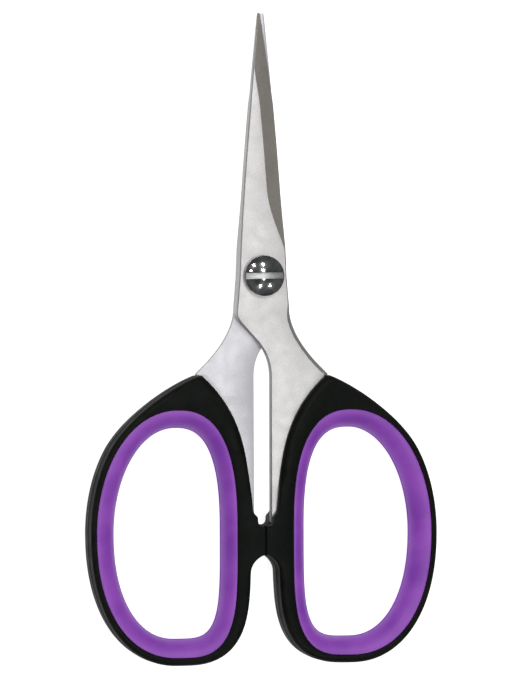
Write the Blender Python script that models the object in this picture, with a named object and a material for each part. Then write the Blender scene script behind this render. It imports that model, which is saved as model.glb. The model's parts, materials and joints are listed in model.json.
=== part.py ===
"""Small pointed craft scissors with soft-lined handles, as an assembly of separate pieces.

The scissors lie closed on a table: +Z is up out of the front face, +Y points to the tips and
+X is to the right. Lengths are in millimetres here and become metres when a mesh is made.
Each shape is drawn about the pivot. One blade, handle and liner are drawn, for the front half,
whose handle is the right one. The rear half is the same three pieces turned over about Y.
"""
import math

import bmesh
import bpy
import numpy as np
from mathutils import Matrix, Vector
from mathutils.geometry import interpolate_bezier

MM = 0.001

# Fit
GAP = 0.3                       # left between pieces that touch on the real scissors

# Blades, measured from the pivot
BLADE_THICKNESS = 2.2
BLADE_REACH = 56.2              # pivot to tip
PIVOT_HALF_WIDTH = 5.1          # half of the blade's width at the pivot
TIP_HALF_WIDTH = 0.75
BLADE_TAPER = 1.35              # 1 is a straight taper, more holds the width towards the pivot
TIP_THICKNESS = 1.0
TIP_THINNING = 22.0             # length over which the blade thins towards its tip
TIP_ROUND = 0.35
TIP_DRAW = 0.6                  # how far the rounded tip draws in, as a share of its length
EDGE_SETBACK = 0.9              # how far the cutting edge falls back at the tip
EDGE_SETBACK_LENGTH = 19.5
EDGE_THICKNESS = 0.35           # wall left along the cutting edge
EDGE_BREAK = 0.4                # chamfer along every other edge
GRIND_WIDTH = 3.25              # ground bevel along the cutting edge
GRIND_HEEL = 4.9                # where the bevel starts above the pivot
GRIND_RUN_OUT = 13.8            # length over which it reaches its full width
GRIND_RUN_OUT_POWER = 0.6
LEAST_FLAT = 0.05               # flat kept between the bevel and the spine's chamfer

# Shank of the blade below the pivot
SHANK_FLARE = 0.085             # widening for each millimetre below the pivot
SHANK_LENGTH = 8.0
SHOULDER_CORNER = (14.1, -20.8)         # where the shoulder runs into the handle
SHOULDER_START_Y = -6.5                 # where the outer edge starts to sweep out to that corner
SHOULDER_PULLS = (0.1, -5.1), (-4.8, 4.4)       # how far its curve follows its two ends
SHOULDER_BREAK = 0.8                    # softer chamfer round the shoulder
SHOULDER_BREAK_START_Y = -5.0
SHOULDER_BREAK_RAMP = 5.0
SHOULDER_BREAK_DEPTH = 0.6              # depth of the outer chamfers, as a share of their width
CROSSING_START = (-4.4, -10.5)          # start of the slanting edge over the other blade
CROSSING_END_Y = -21.5                  # where the slanting edge has become the slot's side
CROSSING_TURN_PULLS = (0.0, -0.9), (-0.6, 0.7)  # how far the turn into it follows its two ends
CROSSING_PULLS = (2.5, -2.9), (0.0, 6.0)        # the same for the slanting edge itself

# Slot and stops between the handles
SLOT_HALF_WIDTH = 1.65
SLOT_END_Y = -53.2
STOP_LENGTH = 6.2               # height of the faces that meet when the scissors close
STOP_FILLET_PULLS = (1.44, -0.3), (0.0, 1.68)
LEG_TOP_DROP = 3.6              # from the stop's lower end to the top of the leg below it
LEG_START = 1.0                 # from there to where the leg follows the opening
LEG_SETBACK = 3.0               # from the centre line to the handle below the stop

# Tang, the part of the blade that the handle is moulded round
TANG_EMBED = 3.6                # how far the handle's lip reaches over the tang
TANG_EMBED_AT_CORNER = 0.6
TANG_EMBED_RAMP = 6.0
SEAT_WALL = 0.9                 # plastic between the tang and the liner's seat
TANG_END_WALL = 2.4             # plastic below the tang's end
TANG_END_ROUND = 0.9
ANCHOR_HOLE_DIAMETER = 2.0      # holes in the tang that the plastic flows through
ANCHOR_HOLE_DROPS = (5.8, 10.4)         # their distances below the shoulder's corner
POCKET_RISE = 5.0               # how far the cutter of the tang's pocket stands out above the handle

# Finger opening of a handle, an egg with a different half on each side
OPENING_TOP_Y = -32.2
OPENING_HALF_LENGTH = 22.5
OPENING_OUTER_HALF_WIDTH = 13.2
OPENING_INNER_HALF_WIDTH = 9.95
OPENING_POWERS = (2.0, 2.7, 4.2, 2.2)   # roundness of the quarters, from the outer top round

# Soft liner round the opening
LINER_WIDTH_OUTER = 4.2         # on the side away from the slot
LINER_WIDTH_ENDS = 3.75         # at its top and bottom
LINER_WIDTH_INNER = 3.0         # on the side that faces the slot
LINER_THICKNESS = 8.4
TONGUE_DEPTH = 1.2              # rib of the handle that holds the liner
TONGUE_THICKNESS = 3.0

# Handle
HANDLE_THICKNESS = 9.0
SHOULDER_TURN = math.radians(28)        # how far round the rim its sweep to the shoulder starts
RIM_WIDTH_OUTER = 1.3           # handle outside the liner, on the same three sides
RIM_WIDTH_ENDS = 1.75
RIM_WIDTH_INNER = 3.05
RIM_ROUND = 1.2
LIP_ROUND = 1.5
STOP_ROUND = 0.25
ROUND_SHARE = 0.7               # most of a thin wall that its rounding may take
LIP_END = (2.7, -49.8)          # where the lip over the tang turns in to the slot
LIP_PULLS = (-0.31, -0.28), (0.03, 0.41)        # how far its curve follows its ends, for its drop
LIP_TURN_PULLS = (-0.1, -0.9), (0.3, 0.5)       # the same for its turn into the slot
SHOULDER_SWEEP = 0.32           # how far the sweep to the shoulder follows the rim, for its length
SHOULDER_SWEEP_END = (0.235, -0.09)

# Pivot
SHANK_DIAMETER = 4.0
HEAD_DIAMETER = 8.6
HEAD_RIM_HEIGHT = 0.45
HEAD_DOME_HEIGHT = 1.05
DRIVER_SLOT_WIDTH = 1.3
DRIVER_SLOT_DEPTH = 0.95
DRIVER_SLOT_TILT = 1.0          # degrees
WASHER_DIAMETER = 8.2
WASHER_THICKNESS = 0.4
NUT_ACROSS_FLATS = 7.0
NUT_THICKNESS = 1.85
NUT_CHAMFER = 0.3
SHANK_END_RECESS = 0.35         # end of the screw below the nut's face

# Finishes: colour, roughness, metallic
SATIN_STEEL = (0.62, 0.61, 0.61), 0.32, 1.0
PLASTIC = (0.012, 0.016, 0.013), 0.45, 0.0
RUBBER = (0.27, 0.07, 0.51), 0.5, 0.0
CHROME = (0.6, 0.6, 0.61), 0.12, 1.0
PLATED_STEEL = (0.55, 0.55, 0.56), 0.3, 1.0

# Fineness of the curved surfaces
SHARP_ANGLE = math.radians(35)
CURVE_STEPS = 10
LINER_STATIONS = 60
BAND_STATIONS = 240
LINER_PROFILE_STEPS = 5
RIM_STATIONS = 84
RIM_ROUND_STEPS = 3
LIP_STEPS = 15
STOP_STEPS = 6
TURNED_SIDES = 48
ANCHOR_HOLE_SIDES = 20
ROW_SPACING = 0.35
ROW_SPACING_AT_ENDS = 0.02
END_STRETCH = 1.0               # length of the finely spaced rows at the tip and the tang's end
SLOPE_REACH = 0.2               # half of the stretch on which a rail's slope is measured
CUTTER_MARGIN = 1.0             # how far cutters run past the faces they cut

# Heights that several pieces share, measured from the plane between the blades
BLADE_BACK = GAP / 2
BLADE_FACE = BLADE_BACK + BLADE_THICKNESS
WASHER_BOTTOM = BLADE_FACE + GAP
HEAD_BOTTOM = WASHER_BOTTOM + WASHER_THICKNESS + GAP
NUT_TOP = -BLADE_FACE - GAP
NUT_BOTTOM = NUT_TOP - NUT_THICKNESS
LOWEST = min(NUT_BOTTOM, -HANDLE_THICKNESS / 2)

# Places that follow from the sizes above
STOP_FACE_X = GAP / 2
STOP_END_Y = SLOT_END_Y - STOP_LENGTH
TANG_END_Y = STOP_END_Y + TANG_END_WALL
OPENING_CENTER = Vector((
    LEG_SETBACK + RIM_WIDTH_INNER + LINER_WIDTH_INNER + OPENING_INNER_HALF_WIDTH,
    OPENING_TOP_Y - OPENING_HALF_LENGTH,
))
HANDLE_BOTTOM_Y = OPENING_CENTER.y - OPENING_HALF_LENGTH - LINER_WIDTH_ENDS - RIM_WIDTH_ENDS
PIVOT_Y = -(BLADE_REACH + HANDLE_BOTTOM_Y) / 2
BORE_RADIUS = SHANK_DIAMETER / 2 + GAP


# ---------------------------------------------------------------- solids

def solid_from_sections(name, sections, closed):
    """Object skinned over matching rings of points, joined end to start or closed by two caps."""
    bm = bmesh.new()
    rings = [[bm.verts.new(point * MM) for point in section] for section in sections]
    for number in range(len(rings) if closed else len(rings) - 1):
        here, there = rings[number], rings[(number + 1) % len(rings)]
        for side in range(len(here)):
            after = (side + 1) % len(here)
            bm.faces.new((here[side], here[after], there[after], there[side]))
    if not closed:
        bm.faces.new(rings[0])
        bm.faces.new(rings[-1])
    bmesh.ops.recalc_face_normals(bm, faces=bm.faces)
    mesh = bpy.data.meshes.new(name)
    bm.to_mesh(mesh)
    bm.free()
    solid = bpy.data.objects.new(name, mesh)
    bpy.context.scene.collection.objects.link(solid)
    return solid


def turned(name, profile, sides=TURNED_SIDES, hollow=False):
    """Piece turned about the pivot axis from (radius, height) pairs."""
    circles = []
    for radius, height in profile:
        turns = [2 * math.pi * side / sides for side in range(sides)]
        circles.append([Vector((radius * math.cos(a), radius * math.sin(a), height)) for a in turns])
    return solid_from_sections(name, circles, closed=hollow)


def cut(solid, cutters):
    """Mesh of the solid less the cutters, which are used up with it."""
    for cutter in cutters:
        modifier = solid.modifiers.new(cutter.name, "BOOLEAN")
        modifier.operation = "DIFFERENCE"
        modifier.object = cutter
    depsgraph = bpy.context.evaluated_depsgraph_get()
    mesh = bpy.data.meshes.new_from_object(solid.evaluated_get(depsgraph))
    for used in [solid] + cutters:
        bpy.data.objects.remove(used)
    return mesh


# ---------------------------------------------------------------- curves

def smooth_step(value):
    """0 below 0, 1 above 1, and an S between them."""
    value = min(max(value, 0.0), 1.0)
    return value * value * (3 - 2 * value)


def bezier(start, start_handle, end_handle, end, steps=CURVE_STEPS):
    """Points of a Bezier curve in the plane, both ends included."""
    corners = [Vector((*point, 0.0)) for point in (start, start_handle, end_handle, end)]
    return [point.to_2d() for point in interpolate_bezier(*corners, steps + 1)]


def opening_point(turn):
    """Point of the finger opening's edge, and its outward normal, at a turn from 0 to 1."""
    angle = 2 * math.pi * turn
    power = OPENING_POWERS[int(4 * turn) % 4]
    cosine, sine = math.cos(angle), math.sin(angle)
    half_width = OPENING_OUTER_HALF_WIDTH if cosine > 0 else OPENING_INNER_HALF_WIDTH
    x = math.copysign(abs(cosine) ** (2 / power), cosine)
    y = math.copysign(abs(sine) ** (2 / power), sine)
    slope_x = math.copysign(abs(x) ** (power - 1), x) / half_width
    slope_y = math.copysign(abs(y) ** (power - 1), y) / OPENING_HALF_LENGTH
    point = OPENING_CENTER + Vector((half_width * x, OPENING_HALF_LENGTH * y))
    return point, Vector((slope_x, slope_y)).normalized()


def opening_stations(count, fine=960):
    """Points round the opening's edge, each with its outward normal.

    They are evenly spaced along the liner's outer side, so that the bands outside it are even too.
    """
    edge = [opening_point(step / fine) for step in range(fine)]
    outside = [point + normal * LINER_WIDTH_ENDS for point, normal in edge]
    lengths = [0.0]
    for step in range(fine):
        lengths.append(lengths[-1] + (outside[(step + 1) % fine] - outside[step]).length)
    picks = np.searchsorted(lengths, np.arange(count) * lengths[-1] / count)
    return [edge[int(pick) % fine] for pick in picks]


def band_width(outer, ends, inner, normal):
    """A band's width, which eases from each side's value to the next with the way it faces."""
    side = outer if normal.x > 0 else inner
    return side * normal.x ** 2 + ends * normal.y ** 2


def liner_width(normal):
    return band_width(LINER_WIDTH_OUTER, LINER_WIDTH_ENDS, LINER_WIDTH_INNER, normal)


def rim_width(normal):
    return band_width(RIM_WIDTH_OUTER, RIM_WIDTH_ENDS, RIM_WIDTH_INNER, normal)


def rail_x(rail, y):
    """Where a rail, a line of points that runs down the blade, lies at this height."""
    return float(np.interp(-y, [-point[1] for point in rail], [point[0] for point in rail]))


# ---------------------------------------------------------------- blade

def shank_half_width(y):
    return PIVOT_HALF_WIDTH - SHANK_FLARE * y


def blade_half_width(y):
    if y <= 0:
        return shank_half_width(y)
    share = (y / BLADE_REACH) ** BLADE_TAPER
    return PIVOT_HALF_WIDTH + (TIP_HALF_WIDTH - PIVOT_HALF_WIDTH) * share


def edge_setback(y):
    return EDGE_SETBACK * max(0.0, 1 - (BLADE_REACH - y) / EDGE_SETBACK_LENGTH)


def lip_curve():
    """Edge of the handle over the tang, from the shoulder's corner down to the slot's end."""
    corner = Vector(SHOULDER_CORNER)
    start = corner + Vector((-TANG_EMBED_AT_CORNER, -GAP))
    end = Vector(LIP_END)
    drop = start.y - end.y
    start_pull, end_pull = [Vector(pull) * drop for pull in LIP_PULLS]
    return bezier(start, start + start_pull, end + end_pull, end, LIP_STEPS)


def seat_inner_side():
    """The liner seat's side that faces the slot, from its top to its bottom."""
    side = []
    for point, normal in opening_stations(LINER_STATIONS * 4):
        if normal.x < 0:
            side.append(point + normal * (liner_width(normal) + GAP / 2))
    return side


def tang_rail():
    """Hidden outer edge of the tang, which follows the lip and keeps clear of the liner's seat."""
    lip = lip_curve()
    seat = seat_inner_side()
    rail = []
    for step in range(1, 2 * CURVE_STEPS + 1):
        y = SHOULDER_CORNER[1] + (TANG_END_Y - SHOULDER_CORNER[1]) * step / (2 * CURVE_STEPS)
        ramp = min(1.0, (SHOULDER_CORNER[1] - y) / TANG_EMBED_RAMP)
        embed = TANG_EMBED_AT_CORNER + (TANG_EMBED - TANG_EMBED_AT_CORNER) * ramp
        x = rail_x(lip, y) + embed
        if y < seat[0].y:
            x = min(x, rail_x(seat, y) - SEAT_WALL - GAP)
        rail.append(Vector((x, y)))
    return rail


def cutting_rail():
    """Outer edge: cutting edge, shank, shoulder and tang, from the tip down."""
    rail = []
    for step in range(2 * CURVE_STEPS + 1):
        y = BLADE_REACH * (1 - step / (2 * CURVE_STEPS))
        rail.append(Vector((blade_half_width(y) - edge_setback(y), y)))
    corner = Vector(SHOULDER_CORNER)
    start = Vector((shank_half_width(SHOULDER_START_Y), SHOULDER_START_Y))
    start_pull, end_pull = [Vector(pull) for pull in SHOULDER_PULLS]
    rail += bezier(start, start + start_pull, corner + end_pull, corner)
    return rail + tang_rail()


def spine_rail():
    """Inner edge: spine, shank, the slanting edge over the other blade and the slot's side."""
    rail = []
    for step in range(2 * CURVE_STEPS + 1):
        y = BLADE_REACH * (1 - step / (2 * CURVE_STEPS))
        rail.append(Vector((-blade_half_width(y), y)))
    corner = Vector((-shank_half_width(-SHANK_LENGTH), -SHANK_LENGTH))
    start = Vector(CROSSING_START)
    end = Vector((SLOT_HALF_WIDTH, CROSSING_END_Y))
    corner_pull, turn_pull = [Vector(pull) for pull in CROSSING_TURN_PULLS]
    start_pull, end_pull = [Vector(pull) for pull in CROSSING_PULLS]
    rail += bezier(corner, corner + corner_pull, start + turn_pull, start, 4)
    rail += bezier(start, start + start_pull, end + end_pull, end)[1:]
    rail.append(Vector((SLOT_HALF_WIDTH, TANG_END_Y)))
    return rail


def grind_width(y):
    """Width of the ground bevel, which runs out in a curve above the pivot."""
    run_out = smooth_step((y - GRIND_HEEL) / GRIND_RUN_OUT)
    return GRIND_WIDTH * run_out ** GRIND_RUN_OUT_POWER


def blade_face(y):
    """Height of the blade's face, which comes down towards the tip."""
    thinning = smooth_step((y - BLADE_REACH + TIP_THINNING) / TIP_THINNING)
    return BLADE_FACE - (BLADE_THICKNESS - TIP_THICKNESS) * thinning


def end_taper(y):
    """How far both edges draw in at the rounded tip and at the tang's rounded end."""
    tip = max(0.0, y - (BLADE_REACH - TIP_ROUND)) / TIP_ROUND
    tang = max(0.0, TANG_END_Y + TANG_END_ROUND - y) / TANG_END_ROUND
    tip_draw = TIP_DRAW * TIP_ROUND * (1 - math.sqrt(1 - min(tip, 1.0) ** 2))
    tang_draw = TANG_END_ROUND * (1 - math.sqrt(1 - min(tang, 1.0) ** 2))
    return tip_draw + tang_draw


def blade_rows(rails):
    """Heights at which the blade's section is drawn: the rails' own points and the rounded ends."""
    heights = {round(point[1], 3) for rail in rails for point in rail}
    for step in range(4):
        share = math.sin(math.pi / 2 * step / 3)
        heights.add(round(BLADE_REACH - TIP_ROUND * (1 - share), 3))
        heights.add(round(TANG_END_Y + TANG_END_ROUND * (1 - share), 3))
    for step in range(1, CURVE_STEPS):
        heights.add(round(GRIND_HEEL + GRIND_RUN_OUT * step / CURVE_STEPS, 3))
    rows = []
    for y in sorted(heights, reverse=True):
        near_end = y > BLADE_REACH - END_STRETCH or y < TANG_END_Y + END_STRETCH
        if not rows or rows[-1] - y > (ROW_SPACING_AT_ENDS if near_end else ROW_SPACING):
            rows.append(y)
    return rows


def slant(rail, y):
    """How much wider a band looks across the blade where its rail slants."""
    rise = rail_x(rail, y + SLOPE_REACH) - rail_x(rail, y - SLOPE_REACH)
    slope = rise / (2 * SLOPE_REACH)
    return math.hypot(1.0, slope)


def shoulder_break(y):
    """Chamfer along the outer edge, which grows soft round the shoulder."""
    rise = smooth_step((SHOULDER_BREAK_START_Y - y) / SHOULDER_BREAK_RAMP)
    return EDGE_BREAK + (SHOULDER_BREAK - EDGE_BREAK) * rise


def blade_section(spine, edge, y):
    """Six corners of the blade's cross-section, from the back of the spine round its face."""
    left = rail_x(spine, y) + end_taper(y)
    right = rail_x(edge, y) - end_taper(y)
    face = blade_face(y)
    spine_break = min(EDGE_BREAK * slant(spine, y), (right - left) / 3)
    outer_break = shoulder_break(y)
    grind = max(grind_width(y), outer_break)
    ground = grind_width(y) * (BLADE_THICKNESS - EDGE_THICKNESS) / GRIND_WIDTH
    fall = min(max(ground, outer_break * SHOULDER_BREAK_DEPTH), face - BLADE_BACK - EDGE_THICKNESS)
    bevel = min(grind * slant(edge, y), right - left - spine_break - LEAST_FLAT)
    return [
        Vector((left, y, BLADE_BACK)),
        Vector((left, y, face - EDGE_BREAK)),
        Vector((left + spine_break, y, face)),
        Vector((right - bevel, y, face)),
        Vector((right, y, face - fall)),
        Vector((right, y, BLADE_BACK)),
    ]


def tang_pocket_section(spine, edge, y):
    """Four corners of the room that a handle leaves round the tang."""
    left = rail_x(spine, y) - GAP * slant(spine, y) + end_taper(y + GAP)
    right = rail_x(edge, y) + GAP * slant(edge, y) - end_taper(y + GAP)
    low, high = BLADE_BACK - GAP, BLADE_FACE + GAP
    return [
        Vector((left, y, low)),
        Vector((left, y, high)),
        Vector((right, y, high)),
        Vector((right, y, low)),
    ]


def blade_mesh():
    spine, edge = spine_rail(), cutting_rail()
    sections = [blade_section(spine, edge, y) for y in blade_rows((spine, edge))]
    blade = solid_from_sections("blade_blank", sections, closed=False)
    pivot_bore = peg("pivot_bore", BORE_RADIUS, BLADE_BACK, BLADE_FACE)
    return cut(blade, [pivot_bore] + anchor_pegs(ANCHOR_HOLE_DIAMETER / 2))


def peg(name, radius, low, high, sides=TURNED_SIDES):
    """Round cutter on the pivot axis that runs past two faces."""
    profile = [(radius, low - CUTTER_MARGIN), (radius, high + CUTTER_MARGIN)]
    return turned(name, profile, sides)


def anchor_pegs(radius):
    """Upright pegs midway between the lip and the tang's edge, longer than the tang is thick."""
    pegs = []
    for drop in ANCHOR_HOLE_DROPS:
        y = SHOULDER_CORNER[1] - drop
        x = rail_x(lip_curve(), y) + TANG_EMBED / 2
        anchor = peg("anchor_peg", radius, BLADE_BACK, BLADE_FACE, ANCHOR_HOLE_SIDES)
        anchor.data.transform(Matrix.Translation((x * MM, y * MM, 0)))
        pegs.append(anchor)
    return pegs


# ---------------------------------------------------------------- handle and liner

def opening_band(width_at):
    """Closed line round the opening at a distance that may change with the direction it faces."""
    return [point + normal * width_at(normal) for point, normal in opening_stations(BAND_STATIONS)]


def on_ray(band, point):
    """Where the ray from the opening's centre to a point crosses a band."""
    ray = point - OPENING_CENTER
    spokes = [spoke - OPENING_CENTER for spoke in band]
    angles = [math.atan2(spoke.y, spoke.x) for spoke in spokes]
    lengths = [spoke.length for spoke in spokes]
    radius = np.interp(math.atan2(ray.y, ray.x), angles, lengths, period=2 * math.pi)
    return OPENING_CENTER + ray.normalized() * float(radius)


def stop_stretch(leg_top):
    """The stop's meeting face and the fillet below it, down to the top of the leg."""
    face = [Vector((STOP_FACE_X, SLOT_END_Y - STOP_LENGTH * share)) for share in (0.0, 0.5)]
    start = Vector((STOP_FACE_X, STOP_END_Y))
    start_pull, end_pull = [Vector(pull) for pull in STOP_FILLET_PULLS]
    fillet = bezier(start, start + start_pull, leg_top + end_pull, leg_top, STOP_STEPS)
    shares = [step / STOP_STEPS for step in range(STOP_STEPS + 1)]
    rounds = [STOP_ROUND + (RIM_ROUND - STOP_ROUND) * share for share in shares]
    return [(point, STOP_ROUND) for point in face] + list(zip(fillet, rounds))


def rim_stretch(leg_top):
    """The handle's rim from the leg, round the bottom and up the outer side."""
    stations = opening_stations(RIM_STATIONS)
    from_inner_side = stations[RIM_STATIONS // 2:] + stations[:RIM_STATIONS // 2]
    stretch = []
    for point, normal in from_inner_side:
        rim = point + normal * (liner_width(normal) + rim_width(normal))
        below_leg = normal.x < 0 and rim.y < leg_top.y - LEG_START
        below_shoulder = normal.x >= 0 and normal.y < math.sin(SHOULDER_TURN)
        if below_leg or below_shoulder:
            stretch.append((rim, normal))
    return stretch


def shoulder_stretch(rim_end, normal):
    """The sweep from the rim up to the corner where the blade's shoulder comes out."""
    corner = Vector(SHOULDER_CORNER) + Vector((GAP / 2, -GAP))
    reach = (rim_end - corner).length
    along_rim = Vector((-normal.y, normal.x)) * reach * SHOULDER_SWEEP
    from_corner = Vector(SHOULDER_SWEEP_END) * reach
    return bezier(rim_end, rim_end + along_rim, corner + from_corner, corner, LIP_STEPS)[1:]


def slot_stretch(lip_end):
    """The lip's turn into the slot and the slot's round end."""
    side = Vector((SLOT_HALF_WIDTH, SLOT_END_Y + SLOT_HALF_WIDTH))
    start_pull, end_pull = [Vector(pull) for pull in LIP_TURN_PULLS]
    turn_in = bezier(lip_end, lip_end + start_pull, side + end_pull, side, 3)[1:]
    for step in range(1, 4):
        angle = math.pi / 2 * step / 4
        turn_in.append(Vector((
            SLOT_HALF_WIDTH * math.cos(angle),
            SLOT_END_Y + SLOT_HALF_WIDTH * (1 - math.sin(angle)),
        )))
    return turn_in


def handle_outline():
    """Points of the handle's edge, anticlockwise from the top of the stop, each with its rounding."""
    leg_top = Vector((LEG_SETBACK, STOP_END_Y - LEG_TOP_DROP))
    rim = rim_stretch(leg_top)
    shoulder = shoulder_stretch(*rim[-1])
    lip = lip_curve()
    outline = stop_stretch(leg_top)
    outline += [(point, RIM_ROUND) for point, normal in rim]
    outline += [(point, RIM_ROUND) for point in shoulder[:-1]]
    outline += [(point, LIP_ROUND) for point in [shoulder[-1]] + lip]
    outline += [(point, STOP_ROUND) for point in slot_stretch(lip[-1])]
    return outline


def rounded_edge(edge, inward, radius):
    """Quarter round at the edge of a slab, from its upper face to its side."""
    half = HANDLE_THICKNESS / 2
    points = []
    for step in range(RIM_ROUND_STEPS + 1):
        angle = math.pi / 2 * step / RIM_ROUND_STEPS
        place = edge + inward * (radius * (1 - math.sin(angle)))
        points.append(Vector((place.x, place.y, half - radius * (1 - math.cos(angle)))))
    return points


def handle_section(edge, tangent, radius, seat, tongue):
    """Section of the handle between its edge and the liner's seat, with the rib in the seat."""
    inward = seat - edge
    across = abs(inward.normalized().cross(tangent.normalized()))
    radius = min(radius, ROUND_SHARE * inward.length * across)
    top = rounded_edge(edge, inward.normalized() / across, radius)
    bottom = [Vector((point.x, point.y, -point.z)) for point in reversed(top)]
    half, rib = HANDLE_THICKNESS / 2, TONGUE_THICKNESS / 2
    inside = [(seat, -half), (seat, -rib), (tongue, -rib), (tongue, rib), (seat, rib), (seat, half)]
    return top + bottom + [Vector((place.x, place.y, height)) for place, height in inside]


def tang_pocket():
    """The room for the tang, open towards the slot and past the handle's top."""
    spine, edge = spine_rail(), cutting_rail()
    above = SHOULDER_CORNER[1] + POCKET_RISE
    rows = [y for y in blade_rows((spine, edge)) if y < above - 1]
    rows = [above] + rows + [TANG_END_Y - GAP]
    sections = [tang_pocket_section(spine, edge, y) for y in rows]
    pocket = solid_from_sections("tang_pocket", sections, closed=False)
    mesh = cut(pocket, anchor_pegs(ANCHOR_HOLE_DIAMETER / 2 - GAP))
    room = bpy.data.objects.new("tang_room", mesh)
    bpy.context.scene.collection.objects.link(room)
    return room


def handle_mesh():
    seat_band = opening_band(lambda normal: liner_width(normal) + GAP / 2)
    tongue_band = opening_band(lambda normal: liner_width(normal) + GAP / 2 - TONGUE_DEPTH)
    outline = handle_outline()
    sections = []
    for number, (edge, radius) in enumerate(outline):
        tangent = outline[(number + 1) % len(outline)][0] - outline[number - 1][0]
        seat, tongue = on_ray(seat_band, edge), on_ray(tongue_band, edge)
        sections.append(handle_section(edge, tangent, radius, seat, tongue))
    body = solid_from_sections("handle_body", sections, closed=True)
    return cut(body, [tang_pocket()])


def liner_section(point, normal):
    """Section of the liner: a bulging face towards the finger, a groove for the handle's rib."""
    width = liner_width(normal) - GAP / 2
    half, groove = LINER_THICKNESS / 2, TONGUE_THICKNESS / 2 + GAP
    profile = []
    for step in range(-LINER_PROFILE_STEPS, LINER_PROFILE_STEPS + 1):
        angle = math.pi / 2 * step / LINER_PROFILE_STEPS
        profile.append((width * (1 - math.cos(angle)), half * math.sin(angle)))
    floor = width - TONGUE_DEPTH
    profile += [(width, groove), (floor, groove), (floor, -groove), (width, -groove)]
    places = [(point + normal * depth, height) for depth, height in profile]
    return [Vector((place.x, place.y, height)) for place, height in places]


def liner_mesh():
    sections = [liner_section(point, normal) for point, normal in opening_stations(LINER_STATIONS)]
    return cut(solid_from_sections("liner_body", sections, closed=True), [])


# ---------------------------------------------------------------- pivot

def screw_mesh():
    shank, head = SHANK_DIAMETER / 2, HEAD_DIAMETER / 2
    rim_top = HEAD_BOTTOM + HEAD_RIM_HEIGHT
    profile = [(shank, NUT_BOTTOM + SHANK_END_RECESS), (shank, HEAD_BOTTOM), (head, HEAD_BOTTOM)]
    for share in (1.0, 0.9, 0.75, 0.55, 0.3, 0.1):
        profile.append((head * share, rim_top + HEAD_DOME_HEIGHT * (1 - share ** 2)))
    screw = turned("screw_blank", profile)
    side = DRIVER_SLOT_WIDTH / 2
    dome_top = rim_top + HEAD_DOME_HEIGHT
    floor, above = dome_top - DRIVER_SLOT_DEPTH, dome_top + CUTTER_MARGIN
    section = [(-side, floor), (side, floor), (side, above), (-side, above)]
    ends = [[Vector((x, y, z)) for y, z in section] for x in (-HEAD_DIAMETER, HEAD_DIAMETER)]
    driver_slot = solid_from_sections("driver_slot", ends, closed=False)
    driver_slot.data.transform(Matrix.Rotation(math.radians(DRIVER_SLOT_TILT), 4, "Z"))
    return cut(screw, [driver_slot])


def washer_mesh():
    outer, low, high = WASHER_DIAMETER / 2, WASHER_BOTTOM, WASHER_BOTTOM + WASHER_THICKNESS
    profile = [(outer, low), (outer, high), (BORE_RADIUS, high), (BORE_RADIUS, low)]
    return cut(turned("washer_blank", profile, hollow=True), [])


def nut_mesh():
    corner = NUT_ACROSS_FLATS / math.sqrt(3)
    profile = [
        (corner - NUT_CHAMFER, NUT_BOTTOM),
        (corner, NUT_BOTTOM + NUT_CHAMFER),
        (corner, NUT_TOP),
    ]
    bore = peg("nut_bore", BORE_RADIUS, NUT_BOTTOM, NUT_TOP)
    return cut(turned("nut_blank", profile, sides=6), [bore])


# ---------------------------------------------------------------- assembly

def frame(name, parent=None):
    """Empty that stands on the pivot axis and carries the pieces."""
    empty = bpy.data.objects.new(name, None)
    bpy.context.scene.collection.objects.link(empty)
    empty.parent = parent
    return empty


def place(name, mesh, parent, finish):
    """Finished piece with its own mesh and material, carried by a frame on the pivot axis."""
    colour, roughness, metallic = finish
    piece = bpy.data.objects.new(name, mesh.copy())
    bpy.context.scene.collection.objects.link(piece)
    piece.parent = parent
    material = bpy.data.materials.new(name)
    material.use_nodes = True
    shader = material.node_tree.nodes["Principled BSDF"]
    shader.inputs["Base Color"].default_value = (*colour, 1.0)
    shader.inputs["Roughness"].default_value = roughness
    shader.inputs["Metallic"].default_value = metallic
    piece.data.materials.clear()
    piece.data.materials.append(material)
    piece.data.shade_smooth()
    piece.data.set_sharp_from_angle(angle=SHARP_ANGLE)


def main():
    for item in list(bpy.data.objects):
        bpy.data.objects.remove(item)

    front = frame("pivot_axis")
    front.location = (0.0, PIVOT_Y * MM, -LOWEST * MM)
    rear = frame("turned_over", front)
    rear.rotation_euler = (0.0, math.pi, 0.0)

    blade, handle, liner = blade_mesh(), handle_mesh(), liner_mesh()
    for half, blade_name, side in ((front, "front_blade", "right"), (rear, "rear_blade", "left")):
        place(blade_name, blade, half, SATIN_STEEL)
        place(side + "_handle", handle, half, PLASTIC)
        place(side + "_grip_liner", liner, half, RUBBER)
    place("pivot_screw", screw_mesh(), front, CHROME)
    place("head_washer", washer_mesh(), front, PLATED_STEEL)
    place("pivot_nut", nut_mesh(), front, PLATED_STEEL)


main()
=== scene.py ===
"""Craft scissors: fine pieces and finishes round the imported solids.

Each piece is drawn once, for the front half, about the pivot and in millimetres. The rear half is
the same piece turned over about Y. The sizes that a user would change are properties in metres.
"""
import json
import math

import bmesh
import bpy
import numpy as np
from bpy.props import FloatProperty, FloatVectorProperty, PointerProperty
from mathutils import Matrix, Vector
from mathutils.geometry import interpolate_bezier


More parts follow.
